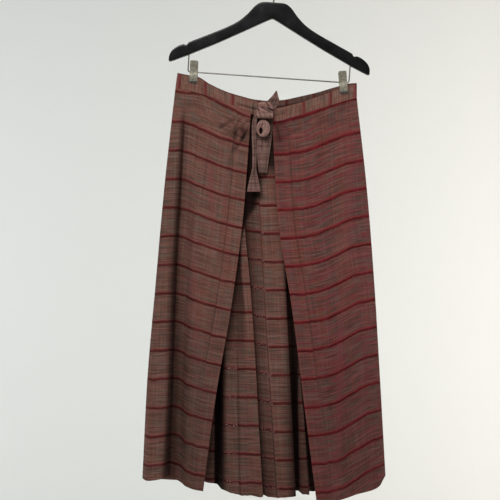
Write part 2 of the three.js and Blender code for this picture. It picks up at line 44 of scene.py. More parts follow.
# Camera, light and backdrop
view = {"place": (-0.0514, -2.7, -0.5911), "lens": 90.84, "sensor": 36.0}
# The wall's second colour is painted light: lighter and warmer on the right
stage = {"wall": "#dfe1de", "wallLitSide": "#e9e7e1", "floor": "#e8e8e4", "floorHeight": -2.05,
         "wallDepth": 3.4, "half": 7.0}
lights = [
    {"name": "softKey", "place": (-0.6, -2.2, 1.5), "aim": (0, 0, -0.6), "size": 1.6,
     "watts": 71.5},
    {"name": "softFill", "place": (2.2, -2.0, -0.3), "aim": (0, 0, -0.8), "size": 2.0, "watts": 18},
    {"name": "wallWashLeft", "place": (-3.0, 1.0, -0.5), "aim": (-0.6, 3.4, -0.5), "size": 2.0,
     "watts": 46},
    {"name": "wallWashRight", "place": (3.0, 1.0, -0.7), "aim": (0.9, 3.4, -0.7), "size": 2.0,
     "watts": 70},
]
air = {"colour": "#eef1f2", "strength": 0.17}


def linear(text):  # sRGB hex to linear values
    channels = [int(text[i:i + 2], 16) / 255 for i in (1, 3, 5)]
    return tuple(c / 12.92 if c <= 0.04045 else ((c + 0.055) / 1.055) ** 2.4
                 for c in channels) + (1.0,)


def addNode(tree, kind, inputs=None, stops=None, **settings):
    node = tree.nodes.new(kind)
    for key, value in settings.items():
        setattr(node, key, value)
    for key, value in (inputs or {}).items():
        if isinstance(value, bpy.types.NodeSocket):
            tree.links.new(value, node.inputs[key])
        else:
            node.inputs[key].default_value = value
    if stops:  # colour ramp, from a list of places and colours
        while len(node.color_ramp.elements) < len(stops):
            node.color_ramp.elements.new(1.0)
        for element, (place, colour) in zip(node.color_ramp.elements, stops):
            element.position, element.color = place, linear(colour)
    return node


def newMaterial(name):
    material = bpy.data.materials.new(name)
    material.use_nodes = True
    material.node_tree.nodes.clear()
    return material, material.node_tree


def wallPaint(name, colour, litColour):  # matt emulsion with painted light: warmer and lighter to the right
    material, tree = newMaterial(name)
    where = addNode(tree, "ShaderNodeTexCoord")
    parts = addNode(tree, "ShaderNodeSeparateXYZ", {0: where.outputs["Object"]})
    side = addNode(tree, "ShaderNodeMapRange", {0: parts.outputs["X"], 1: -1.2, 2: 1.4},
                   interpolation_type="SMOOTHSTEP")
    paint = addNode(tree, "ShaderNodeMix", {0: side.outputs[0], 6: linear(colour), 7: linear(litColour)},
                    data_type="RGBA")
    shader = addNode(tree, "ShaderNodeBsdfPrincipled",
                     {"Base Color": paint.outputs[2], "Roughness": 0.95})
    addNode(tree, "ShaderNodeOutputMaterial", {"Surface": shader.outputs[0]})
    return material


def makeStage():
    bpy.ops.object.select_all(action="DESELECT")
    depth, height, half = stage["wallDepth"], stage["floorHeight"], stage["half"]
    bpy.ops.mesh.primitive_plane_add(size=2 * half, location=(0, depth - half, height))
    floor = bpy.context.active_object
    floor.name = "floor"
    floor.data.materials.append(wallPaint("floorPaint", stage["floor"], stage["floor"]))
    bpy.ops.mesh.primitive_plane_add(size=2 * half, location=(0, depth, height + half),
                                     rotation=(math.pi / 2, 0, 0))
    wall = bpy.context.active_object
    wall.name = "backdrop"
    wall.data.materials.append(wallPaint("wallPaint", stage["wall"], stage["wallLitSide"]))


def makeLights():
    world = bpy.data.worlds.new("studioAir")
    scene.world = world
    world.use_nodes = True
    world.node_tree.nodes["Background"].inputs[0].default_value = linear(air["colour"])
    world.node_tree.nodes["Background"].inputs[1].default_value = air["strength"]
    for light in lights:
        data = bpy.data.lights.new(light["name"], "AREA")
        data.size, data.energy = light["size"], light["watts"]
        lamp = bpy.data.objects.new(light["name"], data)
        scene.collection.objects.link(lamp)
        lamp.location = light["place"]
        aim = Vector(light["aim"]) - Vector(light["place"])
        lamp.rotation_euler = aim.to_track_quat("-Z", "Y").to_euler()


def makeCamera():
    data = bpy.data.cameras.new("camera")
    data.lens, data.sensor_width = view["lens"], view["sensor"]
    camera = bpy.data.objects.new("camera", data)
    scene.collection.objects.link(camera)
    camera.location = view["place"]
    camera.rotation_euler = (math.pi / 2, 0, 0)
    scene.camera = camera


makeStage()
makeLights()
makeCamera()
scene.view_settings.view_transform = "Standard"
print("stage, lights and camera ready")


# Cloth: slubby cotton woven in stripes. Each layer of the ground has its streaks' size across and
# down in mm, the noise's range, its colour and its share. Threads of 0.5 mm would not show, so the
# finest streaks are drawn 2.7 mm wide and the threads' relief at 1.3 mm.
leftLook = {
    "ground": "#66493f",
    "layers": [
        (60, 16, 0.42, 0.58, "#5c5046", 0.66),
        (120, 7, 0.47, 0.60, "#7f4c47", 0.50),
        (13, 420, 0.45, 0.58, "#74463a", 0.38),
        (4.6, 190, 0.50, 0.60, "#40372d", 0.18),
        (5.4, 150, 0.52, 0.62, "#8c7368", 0.16),
        (80, 3.4, 0.50, 0.58, "#86695e", 0.36),
        (60, 2.7, 0.50, 0.60, "#38231f", 0.40),
    ],
    "stripe": "#2f0d0d", "stripeTop": "#4f1819", "halo": "#7f4540",
    "period": 61, "first": 66, "width": 5.6, "soft": 1.3, "wobble": 4.0, "jag": 2.2, "haloWide": 5,
    # deep: the near-black colour of the painted shade
    "tuft": "#b08d88", "deep": "#120907", "faced": "#7a3f40",
}
rightLook = {
    **leftLook,
    "ground": "#603f3a",
    "layers": [
        (60, 17, 0.42, 0.58, "#564841", 0.68),
        (90, 8, 0.47, 0.60, "#7d3539", 0.62),
        (12, 420, 0.45, 0.58, "#733f33", 0.38),
        (4.4, 200, 0.50, 0.60, "#3b2f29", 0.18),
        (5.0, 150, 0.52, 0.62, "#855f58", 0.16),
        (70, 3.4, 0.50, 0.58, "#805c54", 0.38),
        (50, 2.7, 0.50, 0.60, "#331a1a", 0.38),
    ],
    "stripe": "#2f0709", "stripeTop": "#64121e", "halo": "#78312f",
    "width": 5.4, "soft": 1.7, "wobble": 3.4, "jag": 3.4, "haloWide": 6.5,
}
pleatLook = {
    **leftLook,
    "ground": "#66483f",
    "width": 5.8, "soft": 1.1, "wobble": 2.4, "jag": 2.4,
}
bandLook = {
    **leftLook,
    "ground": "#7b594d",
    "stripe": "#4e2122", "stripeTop": "#682f30",
    "width": 5.5, "soft": 2.6, "wobble": 4.0,
}
tieLook = {
    **leftLook, "layers": [leftLook["layers"][k] for k in (1, 3, 4, 5, 6)],
    "ground": "#9b7970",
    "stripe": "#4c1e1c", "stripeTop": "#5a2826", "first": 200, "period": 400,
}
weaveMake = {
    "shift": (3.7, 1.9, 0.31),  # from one layer's noise to the next
    # length in mm along a stripe of its slow and quick wander, and its shares in the colour
    "slow": 34, "quick": 2.2, "wander": 30, "stripeShare": 0.92, "haloShare": 0.7, "haloEnd": 1.5,
    # size in mm across and down of the yarn's two shades, of the worn tufts and of the threads
    "shades": (26, 6), "shadeSpread": 16.0, "fleck": (0.55, 0.62),
    "tufts": (3.1, 2.7), "tuftFrom": (0.55, 0.64), "threads": (1.3, 1.3),
    "slubRise": 0.6, "stripeRise": 1.6, "rise": 0.45,
}


def streaks(tree, where, across, down, place=(0, 0, 0), **settings):
    # Soft noise on the cloth, drawn out to a size across and down in mm
    scaled = addNode(tree, "ShaderNodeMapping", {
        0: where, "Location": place, "Scale": (1 / (across * mm), 1 / (down * mm), 1)})
    return addNode(tree, "ShaderNodeTexNoise", {0: scaled.outputs[0], "Scale": 1.0, **settings},
                   noise_dimensions="2D").outputs[0]


def wovenCloth(name, look):
    # Slubby plain weave: matt, streaked along both threads, with thick weft stripes standing proud
    material, tree = newMaterial(name)
    where = addNode(tree, "ShaderNodeUVMap", uv_map="weave").outputs[0]
    colour = addNode(tree, "ShaderNodeRGB").outputs[0]
    colour.default_value = linear(look["ground"])
    for index, (wide, long, low, high, tint, most) in enumerate(look["layers"]):
        slub = streaks(tree, where, wide, long, [index * part for part in weaveMake["shift"]],
                       Detail=3.0, Roughness=0.55)
        share = addNode(tree, "ShaderNodeMapRange", {0: slub, 1: low, 2: high, 4: most},
                        interpolation_type="SMOOTHSTEP")
        colour = addNode(tree, "ShaderNodeMix", {0: share.outputs[0], 6: colour, 7: linear(tint)},
                         data_type="RGBA").outputs[2]

    # Redder where a facing shows through the open weave, and in bands of redder warp
    faced = addNode(tree, "ShaderNodeAttribute", attribute_name="faced")
    colour = addNode(tree, "ShaderNodeMix", {0: faced.outputs["Fac"], 6: colour,
                                             7: linear(look["faced"])}, data_type="RGBA").outputs[2]

    # Stripes: distance down the cloth from the nearest stripe's middle, made uneven along it
    down = addNode(tree, "ShaderNodeSeparateXYZ", {0: where}).outputs["Y"]
    for reach, size in ((weaveMake["slow"], look["wobble"]), (weaveMake["quick"], look["jag"])):
        uneven = streaks(tree, where, reach, weaveMake["wander"], Detail=2.0)
        shift = addNode(tree, "ShaderNodeMath", {0: uneven, 1: 0.5}, operation="SUBTRACT")
        down = addNode(tree, "ShaderNodeMath", {0: shift.outputs[0], 1: size * mm, 2: down},
                       operation="MULTIPLY_ADD").outputs[0]
    turns = addNode(tree, "ShaderNodeMath", {
        0: down, 1: 1 / (look["period"] * mm), 2: 0.5 - look["first"] / look["period"]},
        operation="MULTIPLY_ADD")
    place = addNode(tree, "ShaderNodeMath", {0: turns.outputs[0]}, operation="FRACT")
    middle = addNode(tree, "ShaderNodeMath", {0: place.outputs[0], 1: 0.5}, operation="SUBTRACT")
    side = addNode(tree, "ShaderNodeMath", {0: middle.outputs[0], 1: look["period"]},
                   operation="MULTIPLY")  # mm below the stripe's middle
    away = addNode(tree, "ShaderNodeMath", {0: side.outputs[0]}, operation="ABSOLUTE")
    half, soft = look["width"] / 2, look["soft"]
    stripe = addNode(tree, "ShaderNodeMapRange", {
        0: away.outputs[0], 1: half + soft, 2: half - soft, 3: 0.0, 4: weaveMake["stripeShare"]},
        interpolation_type="SMOOTHSTEP")
    above = addNode(tree, "ShaderNodeMapRange", {
        0: side.outputs[0], 1: -half - look["haloWide"], 2: -half, 3: 0.0,
        4: weaveMake["haloShare"]}, interpolation_type="SMOOTHSTEP")
    notBelow = addNode(tree, "ShaderNodeMapRange", {
        0: side.outputs[0], 1: half, 2: half + weaveMake["haloEnd"], 3: 1.0, 4: 0.0},
        interpolation_type="SMOOTHSTEP")
    halo = addNode(tree, "ShaderNodeMath", {0: above.outputs[0], 1: notBelow.outputs[0]},
                   operation="MULTIPLY")
    colour = addNode(tree, "ShaderNodeMix", {0: halo.outputs[0], 6: colour,
                                             7: linear(look["halo"])}, data_type="RGBA").outputs[2]
    patches = streaks(tree, where, *weaveMake["shades"], Detail=3.0)
    spread = weaveMake["shadeSpread"]
    lean = addNode(tree, "ShaderNodeMath", {0: patches, 1: spread, 2: side.outputs[0]},
                   operation="MULTIPLY_ADD")
    shade = addNode(tree, "ShaderNodeMapRange", {
        0: lean.outputs[0], 1: spread / 2 - half, 2: spread / 2 + half})
    yarn = addNode(tree, "ShaderNodeMix", {0: shade.outputs[0], 6: linear(look["stripeTop"]),
                                           7: linear(look["stripe"])}, data_type="RGBA")
    fleckShare, fleckBase = weaveMake["fleck"]
    fleck = addNode(tree, "ShaderNodeMath", {0: slub, 1: fleckShare, 2: fleckBase},
                    operation="MULTIPLY_ADD")
    strength = addNode(tree, "ShaderNodeMath", {0: stripe.outputs[0], 1: fleck.outputs[0]},
                       operation="MULTIPLY", use_clamp=True)
    colour = addNode(tree, "ShaderNodeMix", {0: strength.outputs[0], 6: colour,
                                             7: yarn.outputs[2]}, data_type="RGBA").outputs[2]

    # Loose tufts of the pale core of the stripe's yarn where a pressed edge has worn it
    worn = addNode(tree, "ShaderNodeAttribute", attribute_name="worn")
    tuft = streaks(tree, where, *weaveMake["tufts"])
    tuftFrom, tuftTo = weaveMake["tuftFrom"]
    pale = addNode(tree, "ShaderNodeMapRange", {0: tuft, 1: tuftFrom, 2: tuftTo})
    share = addNode(tree, "ShaderNodeMath", {0: pale.outputs[0], 1: worn.outputs["Fac"]},
                    operation="MULTIPLY")
    share = addNode(tree, "ShaderNodeMath", {0: share.outputs[0], 1: stripe.outputs[0]},
                    operation="MULTIPLY")
    colour = addNode(tree, "ShaderNodeMix", {0: share.outputs[0], 6: colour,
                                             7: linear(look["tuft"])}, data_type="RGBA").outputs[2]

    # Painted shade: mixed towards the deep colour by the mark read here, in folds, gaps and creases
    paintedShade = addNode(tree, "ShaderNodeAttribute", attribute_name="paintedShade")
    colour = addNode(tree, "ShaderNodeMix", {0: paintedShade.outputs["Fac"], 6: colour,
                                             7: linear(look["deep"])}, data_type="RGBA").outputs[2]

    # Relief: the threads, the slubs and the stripe's thick yarn
    crossing = streaks(tree, where, *weaveMake["threads"], Detail=1.0)
    ground = addNode(tree, "ShaderNodeMath", {0: slub, 1: weaveMake["slubRise"], 2: crossing},
                     operation="MULTIPLY_ADD")
    proud = addNode(tree, "ShaderNodeMath", {
        0: stripe.outputs[0], 1: weaveMake["stripeRise"], 2: ground.outputs[0]},
        operation="MULTIPLY_ADD")
    bump = addNode(tree, "ShaderNodeBump", {"Height": proud.outputs[0], "Strength": 0.55,
                                            "Distance": weaveMake["rise"] * mm})
    shader = addNode(tree, "ShaderNodeBsdfPrincipled", {
        "Base Color": colour, "Normal": bump.outputs[0], "Roughness": 0.95,
        "Specular IOR Level": 0.08})
    addNode(tree, "ShaderNodeOutputMaterial", {"Surface": shader.outputs[0]})
    return material


clothLeft = wovenCloth("slubCottonLeft", leftLook)
clothRight = wovenCloth("slubCottonRight", rightLook)
clothPleat = wovenCloth("slubCottonPleats", pleatLook)
clothBand = wovenCloth("slubCottonBand", bandLook)
clothTie = wovenCloth("slubCottonTie", tieLook)
print("cloth materials ready")


# Shapes shared by the cloth pieces, in mm
seamGap = 0.3
wall = 0.9  # thickness of the cloth
repeat, firstStripe = leftLook["period"], leftLook["first"]

# The waistband: x, depth y, top and bottom heights
bandFrontLeft = {
    "x": [-208, -184, -163, -139, -101, -74, -47, -25.9],
    "y": [-1.3, -1.3, -1.3, -6, -13, -18, -21, -22],
    "top": [-213.5, -219.2, -223.4, -238.0, -256.3, -265.7, -273.0, -281.0],
    "bottom": [-244.8, -250.0, -255.3, -262.7, -277.0, -289.3, -302.5, -312.0],
}
bandFrontRight = {
    "x": [-25.3, 4, 41, 75, 109, 134, 158, 177],
    "y": [-22, -22, -17, -12, -6, -1.3, -1.3, -1.3],
    "top": [-281.2, -290.0, -281.5, -270.7, -258.0, -248.3, -240.3, -236.5],
    "bottom": [-312.2, -317.5, -307.5, -296.5, -285.3, -277.4, -270.5, -266.0],
}
bandBack = {
    "x": [-208, -184, -163, -139, -102, -74, -40, -12, 18, 52, 93, 134, 158, 177],
    "y": [1.3, 1.3, 1.3, 6, 12, 15, 17, 18, 17, 14, 8, 1.3, 1.3, 1.3],
    "top": [-212.0, -216.6, -220.4, -234.4, -250.8, -259.1, -267.2, -269.7, -268.3, -262.0,
            -253.1, -241.8, -235.1, -233.5],
    "bottom": [-244.0, -247.5, -251.5, -264.4, -281.0, -289.5, -298.0, -301.0, -299.5, -293.0,
               -284.0, -272.5, -266.5, -265.0],
}


def smooth(places, values, at):
    # Smooth curve through places and values with no overshoot, read at one or many places
    places, values = np.asarray(places, float), np.asarray(values, float)
    at = np.clip(np.asarray(at, float), places[0], places[-1])
    slopes = np.diff(values) / np.diff(places)
    tangents = np.concatenate([slopes[:1], np.zeros(len(places) - 2), slopes[-1:]])
    for i in range(1, len(places) - 1):
        before, after = slopes[i - 1], slopes[i]
        tangents[i] = 2 * before * after / (before + after) if before * after > 0 else 0
    i = np.clip(np.searchsorted(places, at, side="right") - 1, 0, len(slopes) - 1)
    span = places[i + 1] - places[i]
    t = (at - places[i]) / span
    s = 1 - t
    return (values[i] * s * s * (1 + 2 * t) + values[i + 1] * t * t * (3 - 2 * t)
            + tangents[i] * span * t * s * s - tangents[i + 1] * span * t * t * s)


def step(value, low, high):  # smooth step from 0 at low to 1 at high
    t = np.clip((np.asarray(value, float) - low) / (high - low), 0, 1)
    return t * t * (3 - 2 * t)


def frontBand(column, x):  # one of the front waistband's columns, at x
    x = np.asarray(x, float)
    left = smooth(bandFrontLeft["x"], bandFrontLeft[column], x)
    right = smooth(bandFrontRight["x"], bandFrontRight[column], x)
    return np.where(x < bandFrontRight["x"][0], left, right)


def unevenness(across, down, seed):
    # Repeatable soft noise from -1 to 1 on arrays of places
    across, down = np.broadcast_arrays(across, down)
    values = [noise.fractal(Vector((a, d, seed)), 1.0, 2.0, 2)
              for a, d in zip(across.ravel(), down.ravel())]
    return np.array(values).reshape(across.shape)


def softCreases(sizes, across, down, seed):
    # Height at each place of creases of several sizes: height, reach across and down in mm, and a
    # step of the seed
    return sum(height * unevenness(across / wide, down / long, seed + more)
               for height, wide, long, more in sizes)


def raised(grid, height):  # the grid moved out along its normals
    return grid + gridNormals(grid) * height[..., None]


def stacked(*parts):  # points or places from arrays that spread over one another
    return np.stack(np.broadcast_arrays(*parts), axis=-1)


def furrows(x, z, lines):
    # Depth at each place of the creases pressed along lines: x, z to x, z, depth and width in mm
    total = np.zeros(np.broadcast(x, z).shape)
    for x0, z0, x1, z1, depth, width in lines:
        runX, runZ = x1 - x0, z1 - z0
        t = np.clip(((x - x0) * runX + (z - z0) * runZ) / (runX ** 2 + runZ ** 2), 0, 1)
        away = np.hypot(x - x0 - t * runX, z - z0 - t * runZ)
        total += depth * np.exp(-(away / width) ** 2)
    return total


def gridNormals(grid):
    down = np.gradient(grid, axis=0)
    across = np.gradient(grid, axis=1)
    normal = np.cross(down, across)
    return normal / np.maximum(np.linalg.norm(normal, axis=2, keepdims=True), 1e-9)


def alongRows(grid):  # length along each row from its first point
    steps = np.linalg.norm(np.diff(grid, axis=1), axis=2)
    return np.concatenate([np.zeros((len(grid), 1)), np.cumsum(steps, axis=1)], axis=1)


def curveAcross(corners, parts):
    # Centripetal curve through the corners of every row, each stretch in its number of parts
    first = 2 * corners[:, :1] - corners[:, 1:2]
    last = 2 * corners[:, -1:] - corners[:, -2:-1]
    padded = np.concatenate([first, corners, last], axis=1)
    reach = np.maximum(np.linalg.norm(np.diff(padded, axis=1), axis=2) ** 0.5, 1e-4)[..., None]
    points, places = [], []
    for i, count in enumerate(parts):
        p0, p1, p2, p3 = (padded[:, i + k] for k in range(4))
        d0, d1, d2 = (reach[:, i + k] for k in range(3))
        t1 = ((p1 - p0) / d0 - (p2 - p0) / (d0 + d1) + (p2 - p1) / d1) * d1
        t2 = ((p2 - p1) / d1 - (p3 - p1) / (d1 + d2) + (p3 - p2) / d2) * d1
        isLast = i == len(parts) - 1
        for t in np.linspace(0, 1, count + 1)[:None if isLast else -1]:
            points.append(p1 + t1 * t + (-3 * p1 + 3 * p2 - 2 * t1 - t2) * t ** 2
                          + (2 * p1 - 2 * p2 + t1 + t2) * t ** 3)
            places.append(i + t)
    return np.stack(points, axis=1), np.array(places)


def addPiece(name, mesh, material):
    mesh.materials.append(material)
    piece = bpy.data.objects.new(name, mesh)
    scene.collection.objects.link(piece)
    bpy.ops.object.select_all(action="DESELECT")
    piece.select_set(True)
    bpy.context.view_layer.objects.active = piece
    return piece


def applyModifier(piece, kind, **settings):
    modifier = piece.modifiers.new(kind.lower(), kind)
    for key, value in settings.items():
        setattr(modifier, key, value)
    bpy.ops.object.modifier_apply(modifier=modifier.name)


def faceOutward():  # of the active piece
    bpy.ops.object.mode_set(mode="EDIT")
    bpy.ops.mesh.select_all(action="SELECT")
    bpy.ops.mesh.normals_make_consistent(inside=False)
    bpy.ops.object.mode_set(mode="OBJECT")


def layOut(mesh, places, corners):  # each corner's place on the cloth, for the weave
    layer = mesh.uv_layers.new(name="weave")
    flat = (places.reshape(-1, 2) * mm)[corners]
    layer.data.foreach_set("uv", flat.astype(np.float32).ravel())


def addMark(mesh, name, values):  # painted shade, worn or faced share of each point
    mark = mesh.attributes.new(name, "FLOAT", "POINT")
    mark.data.foreach_set("value", values.astype(np.float32).ravel())


grids = {}


def clothPiece(name, grid, weave, material, thickness=wall, marks=None):
    # Sheet through a grid of points; weave holds each point's place on the cloth, and marks the
    # shares of painted shade, worn cloth and faced cloth
    grids[name] = grid
    rows, columns = grid.shape[:2]
    corner = np.arange(rows * columns).reshape(rows, columns)
    faces = np.stack([corner[:-1, :-1], corner[1:, :-1], corner[1:, 1:], corner[:-1, 1:]],
                     axis=-1).reshape(-1, 4)
    mesh = bpy.data.meshes.new(name)
    mesh.from_pydata((grid.reshape(-1, 3) * mm).tolist(), [], faces.tolist())
    layOut(mesh, weave, faces.reshape(-1))
    for mark, values in (marks or {}).items():
        addMark(mesh, mark, np.broadcast_to(values, (rows, columns)))
    piece = addPiece(name, mesh, material)
    applyModifier(piece, "SOLIDIFY", thickness=thickness * mm, offset=0.0, use_even_offset=True)
    bpy.ops.object.shade_smooth_by_angle(angle=math.radians(50))
    return piece


def settle(piece, node):
    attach(piece, "root")
    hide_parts(node)


# Front panels
quarters = [0, 0.25, 0.5, 0.75, 1]  # places down a panel at which its folds are given
# Fold lines from left to right: x and y down the panel, the hem's height, the heights of the three
# stripes that set the pattern (the one under the seam, the next and the last) and the cells from
# fold to fold. "inner" is the fold at the faced edge. Creases run from x, z to x, z with a depth
# and a width. The painted shade of the fold valleys has its shares by fold, high and low on the
# panel, from a height down. "rust" are patches of rust colour, the others patches of painted shade
# by the creases near the knot: x, z, half width, half height, lean and strength.
leftPanel = {
    "node": "front_left_panel", "seed": 3.1, "faced": 0.06,
    "x": [[-211, -234.5, -254, -272.5, -283.5], [-205, -224, -243, -257, -266],
          [-193, -204, -217.5, -225, -235.5], [-187, -198, -208, -216, -224.5],
          [-175.5, -184, -193, -198.5, -204], [-158.5, -166.5, -175, -181.5, -188],
          [-104.5, -114, -128.5, -149.5, -169.5], [-49.7, -64, -89, -123, -150]],
    "y": [[-1.9, 4, 11, 18, 25], [-1.9, -6, -10, -14, -18], [-1.9, -7, -12, -16, -20],
          [-1.9, 6, 14, 22, 30], [-1.9, 1, 6, 10, 15], [-3, -9, -15, -20, -25],
          [-13, -20, -28, -35, -42], [-21.5, -31, -38, -44, -50]],
    "hem": [-1084, -1082, -1077, -1082, -1088, -1092, -1096, -1098],
    "stripes": [[-253, -318.6, -1053.2], [-254, -318.9, -1051.4], [-255.5, -319.2, -1048.0],
                [-256.5, -320.2, -1050.7], [-256.5, -323.7, -1053.7], [-259, -332.7, -1061.5],
                [-285.5, -356.0, -1064.4], [-310.9, -371.2, -1065.9]],
    "parts": [10, 9, 10, 8, 9, 34, 34], "inner": -1,
    "gather": {"edge": -49.7, "outward": -1, "pitch": 13, "depth": 1.6, "reach": 62, "slant": 0.8},
    "creases": [[-50, -321, -88, -334, -5.2, 13], [-50, -326, -68, -354, 4.4, 4.4],
                [-57, -319, -82, -342, 3.2, 4.0], [-63, -322, -70, -338, 5.0, 6.0],
                [-73, -318, -86, -352, 3.8, 4.4], [-84, -316, -114, -330, 3.4, 4.4],
                [-48, -334, -62, -360, -4.4, 3.6], [-58, -316, -76, -344, -3.6, 3.4],
                [-76, -312, -94, -336, -3.4, 3.6], [-62, -350, -80, -376, 2.4, 5.0],
                [-96, -330, -116, -380, -1.6, 6], [-80, -350, -98, -420, 1.8, 7],
                [-133, -325, -152, -470, 1.8, 4.5], [-126, -330, -144, -470, -1.2, 6]],
    "paintedShade": {"place": [0, 1.4, 1.75, 2.05, 2.5, 3.0, 3.5, 4.1, 7],
                "top": [0, 0.03, 0.40, 0.72, 0.72, 0.42, 0.16, 0, 0],
                "low": [0, 0, 0.12, 0.66, 0.60, 0.50, 0.46, 0.22, 0.22], "from": [272, 340]},
    "rust": [[-134, -470, 6, 75, -0.05, 0.5], [-100, -560, 8, 120, -0.06, 0.3],
             [-168, -700, 9, 160, -0.04, 0.3]],
    "shadowPatches": [[-68, -334, 6, 9, 0.35, 0.6], [-84, -334, 3, 15, 0.5, 0.32],
            [-100, -322, 16, 3, 0.4, 0.3], [-56, -346, 7, 14, 0.6, 0.3],
            [-88, -374, 1.6, 10, 0, 0.5], [-50, -318, 10, 4, 0, 0.35]],
}
rightPanel = {
    "node": "front_right_panel", "seed": 8.4, "faced": 0.14,
    "x": [[-4.5, 7.5, 38, 63.5, 89.5], [38, 52.5, 77.5, 100.5, 123.5],
          [66, 82.5, 106, 128, 150.5], [93.5, 110.5, 133, 153.5, 173.5],
          [150, 166.5, 186, 204, 221], [177, 200, 216.5, 229.5, 242]],
    "y": [[-22.6, -30, -36, -41, -45], [-18, -26, -34, -40, -45], [-14, -17, -20, -20, -20],
          [-9.5, -9, -8, -4, 0], [-1.9, -4, -3, 1, 5], [-1.9, 6, 14, 24, 35]],
    "hem": [-1127, -1121, -1119, -1115, -1101, -1080],
    "stripes": [[-322.7, -388.6, -1101.9], [-313.8, -386.6, -1099.4], [-305.8, -380.4, -1096.6],
                [-295.7, -368.9, -1086.4], [-275.4, -347.4, -1059.5], [-269, -340.6, -1055.9]],
    "parts": [24, 18, 18, 32, 18], "inner": 0,
    "gather": {"edge": -4.5, "outward": 1, "pitch": 12, "depth": 1.4, "reach": 44, "slant": 0.35},
    "creases": [[4, -318, 12, -360, 2.0, 6], [16, -316, 32, -345, 1.6, 6],
                [20, -340, 44, -390, -1.6, 6], [60, -310, 86, -345, 1.4, 5]],
    "paintedShade": {"place": [0, 0.5, 5], "top": [0, 0, 0], "low": [0.18, 0.2, 0.2],
                "from": [272, 340]},
    "rust": [[160, -480, 12, 170, 0.02, 0.45], [139, -890, 9, 220, 0.03, 0.5],
             [196, -760, 10, 260, 0.04, 0.3]],
    "shadowPatches": [[6, -340, 22, 46, 0, 0.42], [-2, -372, 10, 16, 0, 0.3], [9, -322, 14, 4, 0, 0.5]],
}
panelMake = {
    "rows": 230, "crowd": 1.12, "out": 0.6, "facing": 34, "facingRise": 0.5, "facingShift": -1.3,
    "foldRise": 0.35, "foldWide": 1.3, "hemTurn": 24, "hemRise": 0.5, "stripeRise": 0.25,
    "stripeWide": 3, "seamFlat": 12, "pressedShade": 0.26, "most": 0.9,
    "edgeShade": 0.34, "edgeWide": 1.2, "edgeTop": 0.4, "edgeFrom": (330, 360),
    # from which to which share of the way down the gathers run out, the creases and the soft
    # unevenness set in, and the high shares of painted shade give way to the low ones
    "gatherEnd": (0.012, 0.13), "creaseFrom": (0.002, 0.02), "freeFrom": (0.01, 0.09),
    "lowFrom": (0.4, 0.85),
    # the sizes of the soft handling creases, as softCreases takes them
    "uneven": [(1.6, 70, 240, 0), (0.55, 24, 60, 5), (0.22, 8, 30, 9)],
}


def stripePlace(heights, z):
    # Distance down the cloth at height z, from the heights of the stripe under the seam, the
    # first full one and the one 12 repeats below it
    first, second, last = heights
    upper = firstStripe - repeat * (z - second) / (first - second)
    lower = firstStripe + 12 * repeat * (second - z) / (second - last)
    return np.where(z > second, upper, lower)


def gatherRidge(gather, length, waistX, down):
    reach = gather["outward"] * (waistX - gather["edge"])
    line = (reach - gather["slant"] * down * length) / gather["pitch"]
    start, end = panelMake["gatherEnd"]
    rise = step(down, 0, start) * (1 - step(down, start, end))
    fade = 1 - step(reach, gather["reach"] / 2, gather["reach"])
    return gather["depth"] * rise * fade * (0.5 - 0.5 * np.cos(2 * np.pi * line))


def blots(x, z, spots):
    # Strength at each place of soft patches, which lean by mm across per mm up
    total = np.zeros(x.shape)
    for x0, z0, wide, high, lean, strength in spots:
        total = np.maximum(total, strength * np.exp(
            -((x - x0 - lean * (z - z0)) / wide) ** 2 - ((z - z0) / high) ** 2))
    return total


def upTo(value, at, before, after):  # 1 below a place and 0 past it, softly
    return 1 - step(value, at - before, at + after)


